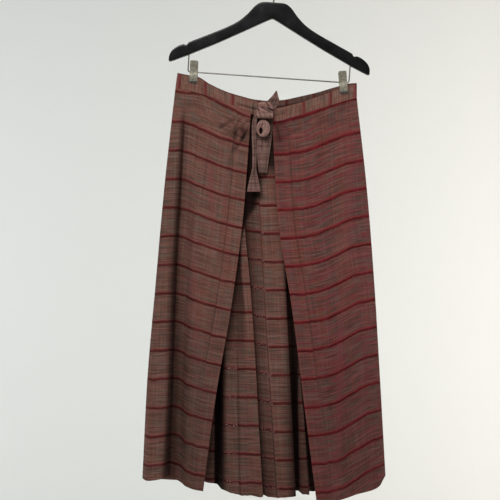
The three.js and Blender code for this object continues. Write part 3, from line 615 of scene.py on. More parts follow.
def frontPanel(name, panel, material):
    down = np.linspace(0, 1, panelMake["rows"] + 1) ** panelMake["crowd"]
    waistX = np.array([fold[0] for fold in panel["x"]])
    corners = np.stack([
        np.stack([smooth(quarters, fold, down) for fold in panel["x"]], axis=1),
        np.stack([smooth(quarters, fold, down) for fold in panel["y"]], axis=1),
        np.stack([(frontBand("bottom", x) - seamGap) * (1 - down) + hem * down
                  for x, hem in zip(waistX, panel["hem"])], axis=1)], axis=2)
    grid, places = curveAcross(corners, panel["parts"])
    waist = grid[0].copy()
    hold = ((1 - down) ** 4)[:, None]
    grid[..., 1] += hold * (frontBand("y", waist[:, 0]) - panelMake["out"] - waist[:, 1])
    grid[..., 2] += hold * (frontBand("bottom", waist[:, 0]) - seamGap - waist[:, 2])
    length = waist[:, 2] - panel["hem"][0]
    grid[..., 1] -= gatherRidge(panel["gather"], length, waist[:, 0], down[:, None])
    pressed = furrows(grid[..., 0], grid[..., 2], panel["creases"])
    pressed *= step(down, *panelMake["creaseFrom"])[:, None]
    grid[..., 1] += pressed

    # Place on the cloth: across from the inner edge, down by the stripes
    across = alongRows(grid)
    if panel["inner"] == -1:
        across = across[:, -1:] - across
    spots = np.arange(len(waistX))
    heights = [smooth(spots, [row[k] for row in panel["stripes"]], places) for k in range(3)]
    cloth = stripePlace(heights, grid[..., 2])

    # Relief: facing behind the inner edge, hem turned up inside, soft handling creases, and the
    # thick yarn of the stripes
    facing = panelMake["facing"]
    relief = panelMake["facingRise"] * upTo(across, facing, 1, 1.2)
    relief += panelMake["foldRise"] * np.exp(-((across - facing) / panelMake["foldWide"]) ** 2)
    fromHem = grid[..., 2] - grid[-1, :, 2]
    relief += panelMake["hemRise"] * upTo(fromHem, panelMake["hemTurn"], 1.5, 1)
    creased = softCreases(panelMake["uneven"], across, cloth, panel["seed"])
    relief += step(down, *panelMake["freeFrom"])[:, None] * creased
    turns = (cloth - firstStripe) / repeat
    stripeGap = np.abs(turns - np.round(turns)) * repeat
    relief += panelMake["stripeRise"] * np.exp(-(stripeGap / panelMake["stripeWide"]) ** 2)
    fromSeam = across.max(axis=1, keepdims=True) - across
    relief *= step(fromSeam, 0, panelMake["seamFlat"])  # the side seam lies flat
    grid = raised(grid, relief)
    x, z = grid[..., 0], grid[..., 2]

    # Painted shade in the fold valleys, the pressed creases, patches by the knot and along the
    # faced edge's fold
    kept, low = panel["paintedShade"], step(down, *panelMake["lowFrom"])[:, None]
    paintedShade = (smooth(kept["place"], kept["top"], places)[None, :] * (1 - low)
               + smooth(kept["place"], kept["low"], places)[None, :] * low)
    paintedShade = paintedShade * step(-z, *kept["from"])
    paintedShade = paintedShade + np.clip(pressed - 1, 0, 4) * panelMake["pressedShade"]
    paintedShade = np.clip(paintedShade + blots(x, z, panel["shadowPatches"]), 0, panelMake["most"])
    line = panelMake["edgeShade"] * np.exp(-((across - facing) / panelMake["edgeWide"]) ** 2)
    top = panelMake["edgeTop"]
    paintedShade = np.maximum(paintedShade, line * (top + (1 - top) * step(-z, *panelMake["edgeFrom"])))
    faced = np.maximum(panel["faced"] * upTo(across, facing, 3, 2), blots(x, z, panel["rust"]))
    shift = panelMake["facingShift"] * step(across, facing - 3, facing + 3)
    piece = clothPiece(name, grid, stacked(across, cloth - shift), material,
                       marks={"paintedShade": paintedShade, "faced": faced})
    settle(piece, panel["node"])
    return piece, across


leftPiece, leftAcross = frontPanel("frontLeft", leftPanel, clothLeft)
rightPiece, rightAcross = frontPanel("frontRight", rightPanel, clothRight)
print("front panels made")


# Pleated centre panel
halves = [0, 0.5, 1]
# Corners of the pleats' section from left to right: x at the waist, half way down and at the hem,
# the layer at the waist, y half way and at the hem, the hem's height, the cells to the next corner
# and the height of the first stripe
pleatColumns = ("x", "layer", "y", "hem", "cells", "first")
leftPleats = [
    ((-128, -148, -168), 0, (12, 30), -1086, 8, -303),
    ((-113.2, -124, -128.7), 0, (2, 10), -1093, 3, -303),
    ((-110.4, -119, -121.6), 0.3, (12, 25), -1096, 3, -303),
    ((-106.8, -106.8, -108.8), 0, (-14, -20), -1103, 14, -303),
    ((-101.5, -85.5, -74.7), 0, (-21, -30), -1109, 20, -303),
    ((-94, -48.6, -24), 0, (-28, -36), -1113, 2, -303),
    ((-94, -48.6, -24), 1, (-23, -28), -1112, 5, -305),
    ((-104.5, -72.7, -51.4), 1, (-18, -20), -1107, 2, -307),
    ((-104.5, -72.7, -51.4), 2, (-13, -12), -1107, 34, -307),
    ((-40.8, -19.6, 5.8), 0.4, (-24, -27), -1117, 0, -313.5),
]
rightPleats = [
    ((-40.8, -19.6, 5.8), 0.4, (-24, -27), -1117, 30, -317),
    ((14.5, 27, 46), 0, (-27, -30), -1113, 2, -316),
    ((14.5, 27, 46), 1, (-21, -20), -1112, 3, -316),
    ((3.9, 12.8, 29.9), 1, (-13, -8), -1110, 2, -316),
    ((3.9, 12.8, 29.9), 2, (-6, 2), -1110, 4, -316),
    ((20.9, 33.3, 51.8), 1.7, (4, 12), -1108, 3, -316),
    ((27.3, 42.3, 61.7), 0.6, (-12, -8), -1112, 3, -316),
    ((33.6, 50.8, 75), 0, (-14, -10), -1113, 2, -316),
    ((33.6, 50.8, 75), 1, (-8, -2), -1112, 3, -316),
    ((29.5, 47, 65.6), 1.2, (-3, 3), -1110, 2, -316),
    ((29.5, 47, 65.6), 2.2, (2, 10), -1110, 4, -316),
    ((40.2, 56.8, 84), 1.9, (3, 12), -1109, 6, -316),
    ((55.3, 74.9, 109.5), 1, (1, 6), -1108, 0, -316),
]
pleatMake = {
    "rows": 200, "in": 0.95, "layer": 2.0, "radiusWaist": 1.6, "radiusHem": 9, "bend": 6,
    "mostBend": 0.46, "spacing": 60.0, "seamHalf": 0.1, "seamFlat": 14, "freeFrom": (0.02, 0.2),
    "hemWave": 3.0, "waveLong": 19, "waveTurn": 2, "waveFrom": (0.9, 1),
    "uneven": [(0.9, 60, 200, 0), (0.35, 20, 50, 3)],
    # creases pressed into the left half: x, z to x, z, depth and width
    "pressed": [[-79, -760, -73, -1108, 1.4, 2.4], [-66, -690, -54, -1108, -1.2, 6]],
}
# Painted shade on the pleats, down the panel from height to height. On the left half: painted
# shade left of a line, how softly it ends and its share; the share and reach of the painted shadow
# beside the big pleat's edge; and the painted shade in the gap at the far left. On the right half:
# from where to where the valley gets painted shade, and the strip of its bottom that the light
# reaches, where the painted shade is less.
pleatShade = {
    "z": [-1113, -1034, -971, -908, -830, -787, -713, -644, -573, -545, -520, -500, -480, -313],
    "line": [-62, -62, -62, -62, -62, -60.5, -62.5, -69, -71, -64, -50, -36, -30, 60],
    "soft": [8, 8, 8, 8, 8, 6, 3, 3, 3, 5, 9, 10, 14, 20],
    "share": [0, 0, 0.02, 0.04, 0.12, 0.28, 0.62, 0.84, 0.9, 0.93, 0.95, 0.97, 0.97, 0.97],
    "beside": [0.6, 0.6, 0.62, 0.64, 0.66, 0.68, 0.74, 0.8, 0.86, 0.9, 0.94, 0.97, 0.97, 0.97],
    "reach": [22, 22, 20, 18, 18, 17, 17, 18, 19, 20, 24, 30, 60, 90],
    "gap": {"start": (-131, -125), "end": (-116, -95), "share": 0.84, "outer": 0.1},
    "bigEdge": 6, "underlay": 0.9, "highFrom": -560, "pressed": 0.4,
    "dark": [[22, 18, 14, 12, 13, 15, 16, 16, 14, 12, 10, 8, 6, -10],
             [54, 51, 47.5, 45.5, 44, 43, 32, 25, 20, 18, 16, 14, 12, 0]],
    "lit": [[54, 52.5, 52, 51, 52, 60, 90, 90, 90, 90, 90, 90, 90, 90],
            [79, 73, 68, 60, 53, 60, 90, 90, 90, 90, 90, 90, 90, 90]],
    "darkShare": 0.88, "litShare": 0.75, "litSoft": (-2, 3, -2, 1), "top": 0.9,
    "topFrom": (-445, -405), "sideFrom": (-500, -470), "side": (-34, -20),
    "seam": 0.42, "seamWide": 1.3,
    "hem": 0.2, "hemFrom": (0.5, 0.95), "most": 0.96,
}
# Where the pressed edges are worn: how far down it starts, and between which places
pleatWear = {"share": 0.8, "bigFrom": (590, 640), "bigOff": 3, "pleatFrom": (780, 820),
             "pleat": (-108, -78), "seamFrom": (480, 520), "seam": (2, 7)}


def foldedSection(rows, seam, way, down):
    # Columns of points across the section with rounded corners, each with its place among the
    # corners and the height of its first stripe
    corners = [dict(zip(pleatColumns, row)) for row in rows]
    places = []
    for i, corner in enumerate(corners):
        x = np.array(corner["x"], float) + (way * pleatMake["seamHalf"] if i == seam else 0)
        waistY = frontBand("y", x[0]) + pleatMake["in"] + corner["layer"] * pleatMake["layer"]
        waistZ = frontBand("bottom", x[0]) - seamGap
        places.append(np.stack([smooth(halves, x, down),
                                smooth(halves, [waistY, *corner["y"]], down),
                                waistZ * (1 - down) + corner["hem"] * down], axis=1))
    radius = pleatMake["radiusWaist"] * (1 - down) + pleatMake["radiusHem"] * down
    bends = [[places[0]]]
    for before, place, after in zip(places, places[1:], places[2:]):
        before, after = before - place, after - place
        lengthBefore = np.linalg.norm(before, axis=1)
        lengthAfter = np.linalg.norm(after, axis=1)
        longest = pleatMake["mostBend"] * np.minimum(lengthBefore, lengthAfter)
        reach = np.minimum(radius, longest)
        start = place + before * (reach / lengthBefore)[:, None]
        end = place + after * (reach / lengthAfter)[:, None]
        bends.append([start * (1 - t) ** 2 + 2 * place * t * (1 - t) + end * t * t
                      for t in np.linspace(0, 1, pleatMake["bend"] + 1)])
    bends.append([places[-1]])
    columns, spots, firsts = [], [], []
    for i, (corner, bend) in enumerate(zip(corners, bends)):
        columns += bend
        spots += [float(i)] * len(bend)
        firsts += [corner["first"]] * len(bend)
        for k in range(1, corner["cells"]):
            t = k / corner["cells"]
            columns.append(bend[-1] * (1 - t) + bends[i + 1][0] * t)
            spots.append(i + t)
            firsts.append(corner["first"] * (1 - t) + corners[i + 1]["first"] * t)
    return np.stack(columns, axis=1), np.array(spots), np.array(firsts)


def leftHalfMarks(x, z, spots):  # shares of painted shade and of worn cloth
    dye = {key: np.interp(z, pleatShade["z"], pleatShade[key])
           for key in ("line", "soft", "share", "beside", "reach")}
    edge = x[:, spots == pleatShade["bigEdge"]].max(axis=1, keepdims=True)
    leftOfLine = dye["share"] * (1 - step((x - dye["line"]) / dye["soft"], -1, 1))
    gap = pleatShade["gap"]
    opened = step(x, *gap["start"])
    inGap = gap["share"] * opened + gap["outer"] * (1 - opened)
    paintedShade = np.maximum(leftOfLine, inGap * (1 - step(x, *gap["end"])))
    crease = pleatMake["pressed"][0]
    pressed = pleatShade["pressed"] * furrows(x, z, [crease]) / crease[4]
    paintedShade = np.maximum(paintedShade, pressed)
    under = np.broadcast_to(spots > pleatShade["bigEdge"] - 0.5, x.shape)
    beside = dye["beside"] * np.exp(-np.abs(x - edge) / dye["reach"])
    underlay = np.maximum(beside, leftOfLine * (z > pleatShade["highFrom"]))
    underlay = np.maximum(underlay, pleatShade["underlay"] * (x < edge))
    besideBig = under & (x > edge + pleatWear["bigOff"])
    onPleat = ~under & (x > pleatWear["pleat"][0]) & (x < pleatWear["pleat"][1])
    worn = (step(-z, *pleatWear["bigFrom"]) * besideBig
            + step(-z, *pleatWear["pleatFrom"]) * onPleat)
    return np.where(under, underlay, paintedShade), worn


def rightHalfMarks(x, z, across):
    # Painted shade in the valley, less where the light reaches its bottom, and near the top
    dark, lit = ([np.interp(z, pleatShade["z"], row) for row in pleatShade[key]]
                 for key in ("dark", "lit"))
    a, b, c, d = pleatShade["litSoft"]
    inLit = step(x, lit[0] + a, lit[0] + b) * (1 - step(x, lit[1] + c, lit[1] + d))
    paintedShade = pleatShade["darkShare"] * step(x, *dark) * (1 - pleatShade["litShare"] * inLit)
    side = step(z, *pleatShade["sideFrom"]) * (1 - step(x, *pleatShade["side"]))
    paintedShade = np.maximum(paintedShade, pleatShade["top"] * side)
    paintedShade = np.maximum(paintedShade, pleatShade["top"] * step(z, *pleatShade["topFrom"]))
    return paintedShade, step(-z, *pleatWear["seamFrom"]) * (1 - step(across, *pleatWear["seam"]))


def pleatPanel(name, node, rows, seam, way, seed):
    down = np.linspace(0, 1, pleatMake["rows"] + 1)
    grid, spots, firsts = foldedSection(rows, seam, way, down)
    hung = frontBand("bottom", grid[0, :, 0]) - seamGap - grid[0, :, 2]
    grid[..., 2] += hung * (1 - down)[:, None]
    across = alongRows(grid)
    if way == -1:
        across = across[:, -1:] - across
    cloth = firstStripe + repeat * (firsts - grid[..., 2]) / pleatMake["spacing"]
    free = step(down, *pleatMake["freeFrom"])[:, None] * step(across, 0, pleatMake["seamFlat"])
    grid = raised(grid, free * softCreases(pleatMake["uneven"], across, cloth, seed))
    wave = unevenness(grid[..., 0] / pleatMake["waveLong"], down[:, None] * pleatMake["waveTurn"],
                      seed + 6)
    waving = step(down, *pleatMake["waveFrom"])[:, None]
    grid[..., 2] += pleatMake["hemWave"] * waving * wave
    x, z = grid[..., 0], grid[..., 2]
    if way == -1:
        grid[..., 1] += furrows(x, z, pleatMake["pressed"])
        paintedShade, worn = leftHalfMarks(x, z, spots)
    else:
        paintedShade, worn = rightHalfMarks(x, z, across)
    # Painted shade along the centre seam, and more of it towards the hem
    seamLine = pleatShade["seam"] * np.exp(-(across / pleatShade["seamWide"]) ** 2)
    paintedShade = np.maximum(paintedShade, seamLine)
    paintedShade = paintedShade + pleatShade["hem"] * step(down, *pleatShade["hemFrom"])[:, None]
    paintedShade = np.minimum(paintedShade, pleatShade["most"])
    piece = clothPiece(name, grid, stacked(across, cloth), clothPleat,
                       marks={"paintedShade": paintedShade, "worn": pleatWear["share"] * worn})
    settle(piece, node)
    return piece


pleatsLeft = pleatPanel("pleatsLeft", "pleat_panel_left", leftPleats, len(leftPleats) - 1, -1, 21.0)
pleatsRight = pleatPanel("pleatsRight", "pleat_panel_right", rightPleats, 0, 1, 27.0)
print("pleats made")


# Back panel
backPanel = {"bulge": 62, "fullness": 0.6, "folds": 5, "foldDepth": 9, "columns": 190,
             "rows": 200, "hemSag": 18, "stripeSag": 10, "seam": [2.9, 1.7, 0.9, 0.1, 0.0],
             "seed": 41.0, "uneven": [(1.8, 80, 260, 0), (0.5, 24, 60, 4)],
             "freeFrom": (0.02, 0.15), "sideFlat": 0.04, "creaseFrom": (0.005, 0.03),
             "creases": [[-158, -296, -176, -505, 1.9, 5], [-118, -300, -124, -430, -1.3, 6],
                         [-71, -308, -84, -566, 1.7, 7], [-38, -316, -44, -372, 2.2, 4.4],
                         [-8, -316, 2, -404, -1.8, 5], [31, -314, 43, -618, 1.9, 7],
                         [74, -306, 86, -392, 2.1, 4.6], [117, -296, 137, -470, -1.6, 6],
                         [146, -290, 168, -560, 1.4, 5], [-132, -742, -121, -1046, 1.3, 8],
                         [-24, -668, -9, -911, -1.2, 9], [71, -812, 86, -1078, 1.6, 8],
                         [-190, -620, -203, -884, -1.2, 7], [166, -700, 181, -934, 1.1, 8]]}


def makeBack():
    down = np.linspace(0, 1, backPanel["rows"] + 1)[:, None]
    across = np.linspace(0, 1, backPanel["columns"] + 1)[None, :]
    leftX, rightX = leftPanel["x"][0], rightPanel["x"][-1]
    leftY, rightY = leftPanel["y"][0], rightPanel["y"][-1]
    edgeY = (smooth(quarters, backPanel["seam"], down)
             + smooth(quarters, leftY, down) * (1 - across)
             + smooth(quarters, rightY, down) * across)
    arch = np.sin(np.pi * across) ** backPanel["fullness"]
    wave = np.sin(2 * np.pi * backPanel["folds"] * across) * np.sin(np.pi * across)
    waistX = leftX[0] * (1 - across) + rightX[0] * across
    opened = down * (backPanel["bulge"] * arch + backPanel["foldDepth"] * wave)
    held = (1 - down) ** 3 * (smooth(bandBack["x"], bandBack["y"], waistX) - edgeY[:1])
    hem = (leftPanel["hem"][0] * (1 - across) + rightPanel["hem"][-1] * across
           - backPanel["hemSag"] * arch)
    top = smooth(bandBack["x"], bandBack["bottom"], waistX) - seamGap
    grid = stacked(
        smooth(quarters, leftX, down) * (1 - across) + smooth(quarters, rightX, down) * across,
        edgeY + opened + held, top * (1 - down) + hem * down)
    width = alongRows(grid)
    sag = backPanel["stripeSag"] * np.sin(np.pi * across)
    heights = [left * (1 - across) + right * across - sag
               for left, right in zip(leftPanel["stripes"][0], rightPanel["stripes"][-1])]
    cloth = stripePlace(heights, grid[..., 2])
    free = (step(down, *backPanel["freeFrom"]) * step(across, 0, backPanel["sideFlat"])
            * step(1 - across, 0, backPanel["sideFlat"]))
    grid = raised(grid, -free * softCreases(backPanel["uneven"], width, cloth, backPanel["seed"]))
    creased = furrows(grid[..., 0], grid[..., 2], backPanel["creases"])
    grid[..., 1] -= step(down, *backPanel["creaseFrom"]) * creased
    piece = clothPiece("back", grid, stacked(width, cloth), clothLeft)
    settle(piece, "back_panel")
    return piece


back = makeBack()
print("back made")


# Waistband
bandMake = {"thick": 2.3, "height": 32, "columns": 160, "rows": 14, "uneven": [(0.35, 22, 16, 0)],
            "leanFrom": (184, 208), "lean": (1.2, -3), "pressed": 0.34, "most": 0.8,
            "inside": {"top": 0.34, "more": 0.5, "from": (0.25, 0.5)}}
bandPieces = {  # table, node, seed, x of each cross stripe and the creases by the knot
    "bandLeft": {
        "table": bandFrontLeft, "node": "waistband_front_left", "seed": 51,
        "stripes": [-259, -201.2, -145.6, -87.6, -28],
        "creases": [[-75, -282, -46, -291, 1.5, 2.2], [-72, -291, -44, -297, -1.2, 3],
                    [-70, -301, -44, -304, 1.2, 1.8], [-44, -291.5, -41, -291.5, 2.4, 2.2]]},
    "bandRight": {
        "table": bandFrontRight, "node": "waistband_front_right", "seed": 55,
        "stripes": [-60, -3, 63.6, 120.9, 175.4, 230],
        "creases": [[-4, -299, 30, -290, -1.2, 3.0], [-2, -306, 22, -301, 1.3, 2.0],
                    [0, -299, 7, -296, 1.6, 1.8]]},
    "bandBack": {
        "table": bandBack, "node": "waistband_back", "seed": 59,
        "stripes": [-259, -201, -145, -88, -30, 28, 86, 144, 202], "creases": []},
}


def makeBand(name, band):
    table, stripes = band["table"], band["stripes"]
    xs = np.linspace(table["x"][0], table["x"][-1], bandMake["columns"] + 1)
    share = np.linspace(0, 1, bandMake["rows"] + 1)[:, None]
    top, bottom, depth = (smooth(table["x"], table[key], xs) for key in ("top", "bottom", "y"))
    grid = stacked(xs, depth, top * (1 - share) + bottom * share)
    along = smooth(stripes, [firstStripe + repeat * k for k in range(len(stripes))], xs)
    width = share * bandMake["height"]
    creased = softCreases(bandMake["uneven"], along, width, band["seed"])
    grid = raised(grid, creased * np.sin(np.pi * share) ** 0.5)
    pressed = furrows(grid[..., 0], grid[..., 2], band["creases"])
    grid[..., 1] += pressed
    topLean, bottomLean = bandMake["lean"]  # the left end slants out towards its lower corner
    leaning = topLean * (1 - share) + bottomLean * share
    grid[..., 0] += leaning * step(-grid[..., 0], *bandMake["leanFrom"])
    # Painted shade in the creases by the knot
    marks = {"paintedShade": np.clip(pressed * bandMake["pressed"], 0, bandMake["most"])}
    piece = clothPiece(name, grid, stacked(width, along), clothBand, bandMake["thick"],
                       marks if band["creases"] else None)
    settle(piece, band["node"])


def shadeBandInside(piece):
    # The waistband's back, seen from inside over the front, gets painted shade, darker lower down
    inside, places = bandMake["inside"], bandBack["x"]
    kept = np.zeros(len(piece.data.vertices))
    for vertex in piece.data.vertices:
        x, y, z = vertex.co / mm
        top, bottom = (smooth(places, bandBack[end], x) for end in ("top", "bottom"))
        if y < smooth(places, bandBack["y"], x):
            low = step((top - z) / (top - bottom), *inside["from"])
            kept[vertex.index] = inside["top"] + inside["more"] * float(low)
    addMark(piece.data, "paintedShade", kept)


for name, band in bandPieces.items():
    makeBand(name, band)
shadeBandInside(bpy.data.objects["bandBack"])
print("waistband made")


# Tie belt
tieMake = {"thick": 2.2, "steps": 90, "side": 26, "darken": 0.28, "most": 0.8, "start": 30,
           "rim": {"more": 0.12, "in": 1.2, "wide": 1.2}, "uneven": [(0.5, 9, 26, 0)], "square": 10,
           "creaseEnd": (0.06, 0.04), "shadeEnd": (0.3, 0.62)}
# Straps: x, depth y, height z, width and turn (degrees) of each section. A crease runs from one
# share of the strap's length and half width to another, with its depth and width in mm. The
# shade is the painted shade of the strap at its top and below, deeper at the top where the knot
# and loop shadow it.
tieStraps = {
    "tieTailLong": {
        "node": "tie_tail_long", "seed": 71, "shade": [0.4, 0.36],
        "rows": [(-36, -24.2, -302, 9, 0), (-40.6, -25.2, -314, 10, 0),
                 (-42.5, -28.5, -330, 10.5, -10), (-42.6, -31.5, -352, 10.5, -20),
                 (-41.9, -34, -385, 10, -25), (-42.3, -35.5, -415, 9.5, -25),
                 (-43, -36, -430, 14, -14), (-43.2, -36.5, -448, 22, -6),
                 (-43.2, -37, -468, 29, 0)],
        "creases": [(0.1, -0.4, 0.7, 0.5, 0.8, 1.3), (0.3, 0.6, 0.74, -0.2, 0.7, 1.2),
                    (0.66, 0.0, 0.96, 0.35, 1.0, 1.5), (0.7, -0.3, 1.0, -0.5, 0.6, 1.8),
                    (0.66, 0.5, 0.9, 0.8, 0.5, 1.4)]},
    "tieTailShort": {
        "node": "tie_tail_short", "seed": 73, "shade": [0.88, 0.4],
        "rows": [(-17, -24.6, -302, 24, 0), (-18, -25.8, -316, 30, 0), (-19, -27.0, -332, 32, 0),
                 (-20.5, -27.6, -350, 31, 0), (-22, -29.5, -369, 30, 8),
                 (-23.5, -32, -395, 27, 22), (-24.2, -33.5, -428, 24, 42)],
        "creases": [(0.0, -0.5, 0.75, -0.25, 1.1, 2.0), (0.0, 0.1, 0.6, 0.2, 1.2, 2.2),
                    (0.0, 0.6, 0.7, 0.55, 1.0, 1.8), (0.35, -0.8, 1.0, -0.7, 0.5, 2.2),
                    (0.5, 0.85, 1.0, 0.6, 0.8, 1.6)]},
    "tieEndUp": {
        "node": "tie_end_up", "seed": 75, "shade": [0.5, 0.26],
        "rows": [(-8, -24.6, -292, 22, 0), (-2, -25.2, -276, 24, 0), (2.2, -27, -264, 12, 6),
                 (4.6, -28, -254, 2.5, 10)],
        "creases": [(0.0, -0.3, 0.7, 0.1, 0.9, 1.8), (0.1, 0.5, 0.9, 0.4, 0.7, 1.6)]},
}
knotMake = {
    "x": -20.5, "y": -36.1, "corner": 0.8, "around": 96, "steps": 64, "weave": 12,
    "foot": {"z": (300, 312), "x": (-14, -3), "out": 2.2, "down": 1.8},
    "uneven": [(0.7, 9, 8, 0)], "proud": 0.6, "seed": 81, "front": (-0.1, 0.5),
    # height, half width and half depth of each section
    "sections": [(-277.8, 6, 3.0), (-279.8, 11.5, 6.4), (-285, 15.8, 9.2), (-295, 18.4, 10),
                 (-305, 18, 9.8), (-311.5, 15.8, 8), (-313.6, 10, 5)],
    "creases": [(-37.5, -286, -35.5, -287.5, 3.2, 1.7), (-26, -292, -8, -301, 2.6, 1.7),
                (-39, -292, -33, -297, 3.0, 1.8), (-13, -293, -3, -297.5, 4.2, 2.2),
                (-18, -279, -12, -288, 2.4, 1.6), (-33, -301, -29, -311, 1.6, 1.8),
                (-23, -299, -12, -306, -1.4, 3.0), (-30, -284, -16, -290, -1.6, 3.2),
                (-14, -303, -7, -312, 1.8, 1.4), (-24, -301, -19, -311, 1.2, 1.5)],
}
loopMake = {
    "outer": (-23.7, -334.6, 14.9, 18.2), "hole": (-28.6, -340.0, 3.4, 7.0), "y": -37.5,
    "deep": 5.6, "slim": (0.75, 1.6), "corner": 0.8, "around": 120, "section": 28,
    "weave": (16, 5), "uneven": [(0.5, 8, 8, 0)], "seed": 83, "front": (-0.2, 0.6),
    "creases": [(-24, -318, -27, -331, 1.5, 1.2), (-20, -318, -19, -334, 1.5, 1.3),
                (-15.5, -321, -14, -338, 1.2, 1.2), (-29, -320, -33, -333, 1.0, 1.2),
                (-21, -345, -17, -351, 0.9, 1.3)],
}


def closedSkin(name, node, rings, weave, pressed, cap=True):
    # Skin over rings of points; the ends are closed by a fan, or the last ring meets the first.
    # It gets painted shade where it is pressed in, and where the caller adds shade to pressed.
    count, around = rings.shape[:2]
    points, places, faces = rings.reshape(-1, 3), weave.reshape(-1, 2), []
    for i in range(count - 1 if cap else count):
        for j in range(around):
            k, below = (j + 1) % around, ((i + 1) % count) * around
            faces.append((i * around + j, i * around + k, below + k, below + j))
    if cap:
        points = np.concatenate([points, rings[:1].mean(axis=1), rings[-1:].mean(axis=1)])
        places = np.concatenate([places, weave[:1].mean(axis=1), weave[-1:].mean(axis=1)])
        first, last = count * around, (count - 1) * around
        for j in range(around):
            k = (j + 1) % around
            faces += [(k, j, first), (last + j, last + k, first + 1)]
    mesh = bpy.data.meshes.new(name)
    mesh.from_pydata((points * mm).tolist(), [], faces)
    layOut(mesh, places, [corner for face in faces for corner in face])
    kept = np.zeros(len(points))
    kept[:pressed.size] = np.clip(pressed.ravel() * tieMake["darken"], 0, tieMake["most"])
    addMark(mesh, "paintedShade", kept)
    piece = addPiece(name, mesh, clothTie)
    faceOutward()
    bpy.ops.object.shade_smooth_by_angle(angle=math.radians(60))
    settle(piece, node)
    return piece


def makeStrap(name, strap):
    rows = np.array(strap["rows"], float)
    spots = np.linspace(0, 1, len(rows))
    down = np.linspace(0, 1, tieMake["steps"] + 1)[:, None]
    x, y, z, width, turn = (smooth(spots, rows[:, k], down) for k in range(5))
    turn = np.radians(turn)
    s = np.linspace(-1, 1, tieMake["side"] + 1)
    s = np.sin(s * np.pi / 2)[None, :]  # closer together at the edges
    half, length, rim = width / 2, z.max() - z.min(), tieMake["rim"]
    thick = tieMake["thick"] / 2 * (1 - np.abs(s) ** tieMake["square"]) ** 0.5
    fromEdge = (1 - np.abs(s)) * half
    thick = thick * (1 + rim["more"] * np.exp(-(fromEdge / rim["wide"] - rim["in"]) ** 2))
    out = softCreases(tieMake["uneven"], s * half, down * length, strap["seed"])
    pressed = np.zeros(out.shape)
    past, within = tieMake["creaseEnd"]
    for t0, s0, t1, s1, depth, wide in strap["creases"]:
        part = np.clip((down - t0) / (t1 - t0), 0, 1)
        middle = s0 + (s1 - s0) * part
        held = step(down, t0 - past, t0 + within) * (1 - step(down, t1 - within, t1 + past))
        pressed = pressed + depth * held * np.exp(-(((s - middle) * half) / wide) ** 2)
    out = out + pressed
    front, back = (stacked(x + s * half * np.cos(turn) - (out + side * thick) * np.sin(turn),
                           y + s * half * np.sin(turn) + (out + side * thick) * np.cos(turn), z)
                   for side in (-1, 1))
    rings = np.concatenate([front, back[:, -2:0:-1]], axis=1)
    place = np.concatenate([s, 2 - s[:, -2:0:-1]], axis=1) * half
    # Painted shade on the strap, deeper near its top under the knot and loop
    deep, rest = strap["shade"]
    kept = rest + (deep - rest) * (1 - step(down, *tieMake["shadeEnd"]))
    pressed = pressed + kept / tieMake["darken"]
    pressed = np.concatenate([pressed, pressed[:, -2:0:-1]], axis=1)
    return closedSkin(name, strap["node"], rings,
                      stacked(place, tieMake["start"] + down * length), pressed)


def rounded(wave, corner):  # a cosine or sine of a section with squarer corners
    return np.sign(wave) * np.abs(wave) ** corner


def makeKnot():
    rows = np.array(knotMake["sections"], float)
    along = np.linspace(0, 1, knotMake["steps"] + 1)
    z = smooth(np.linspace(0, 1, len(rows)), rows[:, 0], along)[:, None]
    width = smooth(-rows[:, 0], rows[:, 1], -z)
    depth = smooth(-rows[:, 0], rows[:, 2], -z)
    angle = 2 * np.pi * np.arange(knotMake["around"])[None, :] / knotMake["around"]
    x = knotMake["x"] + width * rounded(np.cos(angle), knotMake["corner"])
    y = knotMake["y"] + depth * rounded(np.sin(angle), knotMake["corner"])
    front = step(-np.sin(angle), *knotMake["front"])
    foot = knotMake["foot"]  # flared on the right
    x = x + foot["out"] * front * step(-z, *foot["z"]) * step(x, *foot["x"])
    z = z - foot["down"] * front * step(-z, *foot["z"]) * step(x, *foot["x"])
    pressed = front * furrows(x, z, knotMake["creases"])
    creased = softCreases(knotMake["uneven"], x, z, knotMake["seed"])
    y = y + pressed + front * (creased - knotMake["proud"])
    return closedSkin("tieKnot", "tie_knot", stacked(x, y, z),
                      stacked(angle * knotMake["weave"], -z), pressed)


def makeLoop():
    outerX, outerZ, outerWide, outerHigh = loopMake["outer"]
    holeX, holeZ, holeWide, holeHigh = loopMake["hole"]
    turn = 2 * np.pi * np.arange(loopMake["around"])[:, None] / loopMake["around"]
    around = 2 * np.pi * np.arange(loopMake["section"])[None, :] / loopMake["section"]
    outside = np.stack([outerX + outerWide * np.cos(turn), outerZ + outerHigh * np.sin(turn)])
    inside = np.stack([holeX + holeWide * np.cos(turn), holeZ + holeHigh * np.sin(turn)])
    share = 0.5 + 0.5 * np.cos(around)
    x, z = inside * (1 - share) + outside * share
    thick = np.hypot(*(outside - inside)) / 2
    slim, more = loopMake["slim"]
    deep = np.minimum(loopMake["deep"], slim * thick + more)
    front = step(-np.sin(around), *loopMake["front"])
    pressed = front * furrows(x, z, loopMake["creases"])
    y = (loopMake["y"] + deep * rounded(np.sin(around), loopMake["corner"]) + pressed
         + front * softCreases(loopMake["uneven"], x, z, loopMake["seed"]))
    alongWeave, acrossWeave = loopMake["weave"]
    return closedSkin("tieLoop", "tie_loop", stacked(x, y, z),
                      stacked(turn * alongWeave, around * acrossWeave), pressed, cap=False)


tie = {name: makeStrap(name, strap) for name, strap in tieStraps.items()}
tie["tieKnot"], tie["tieLoop"] = makeKnot(), makeLoop()
print("tie made")


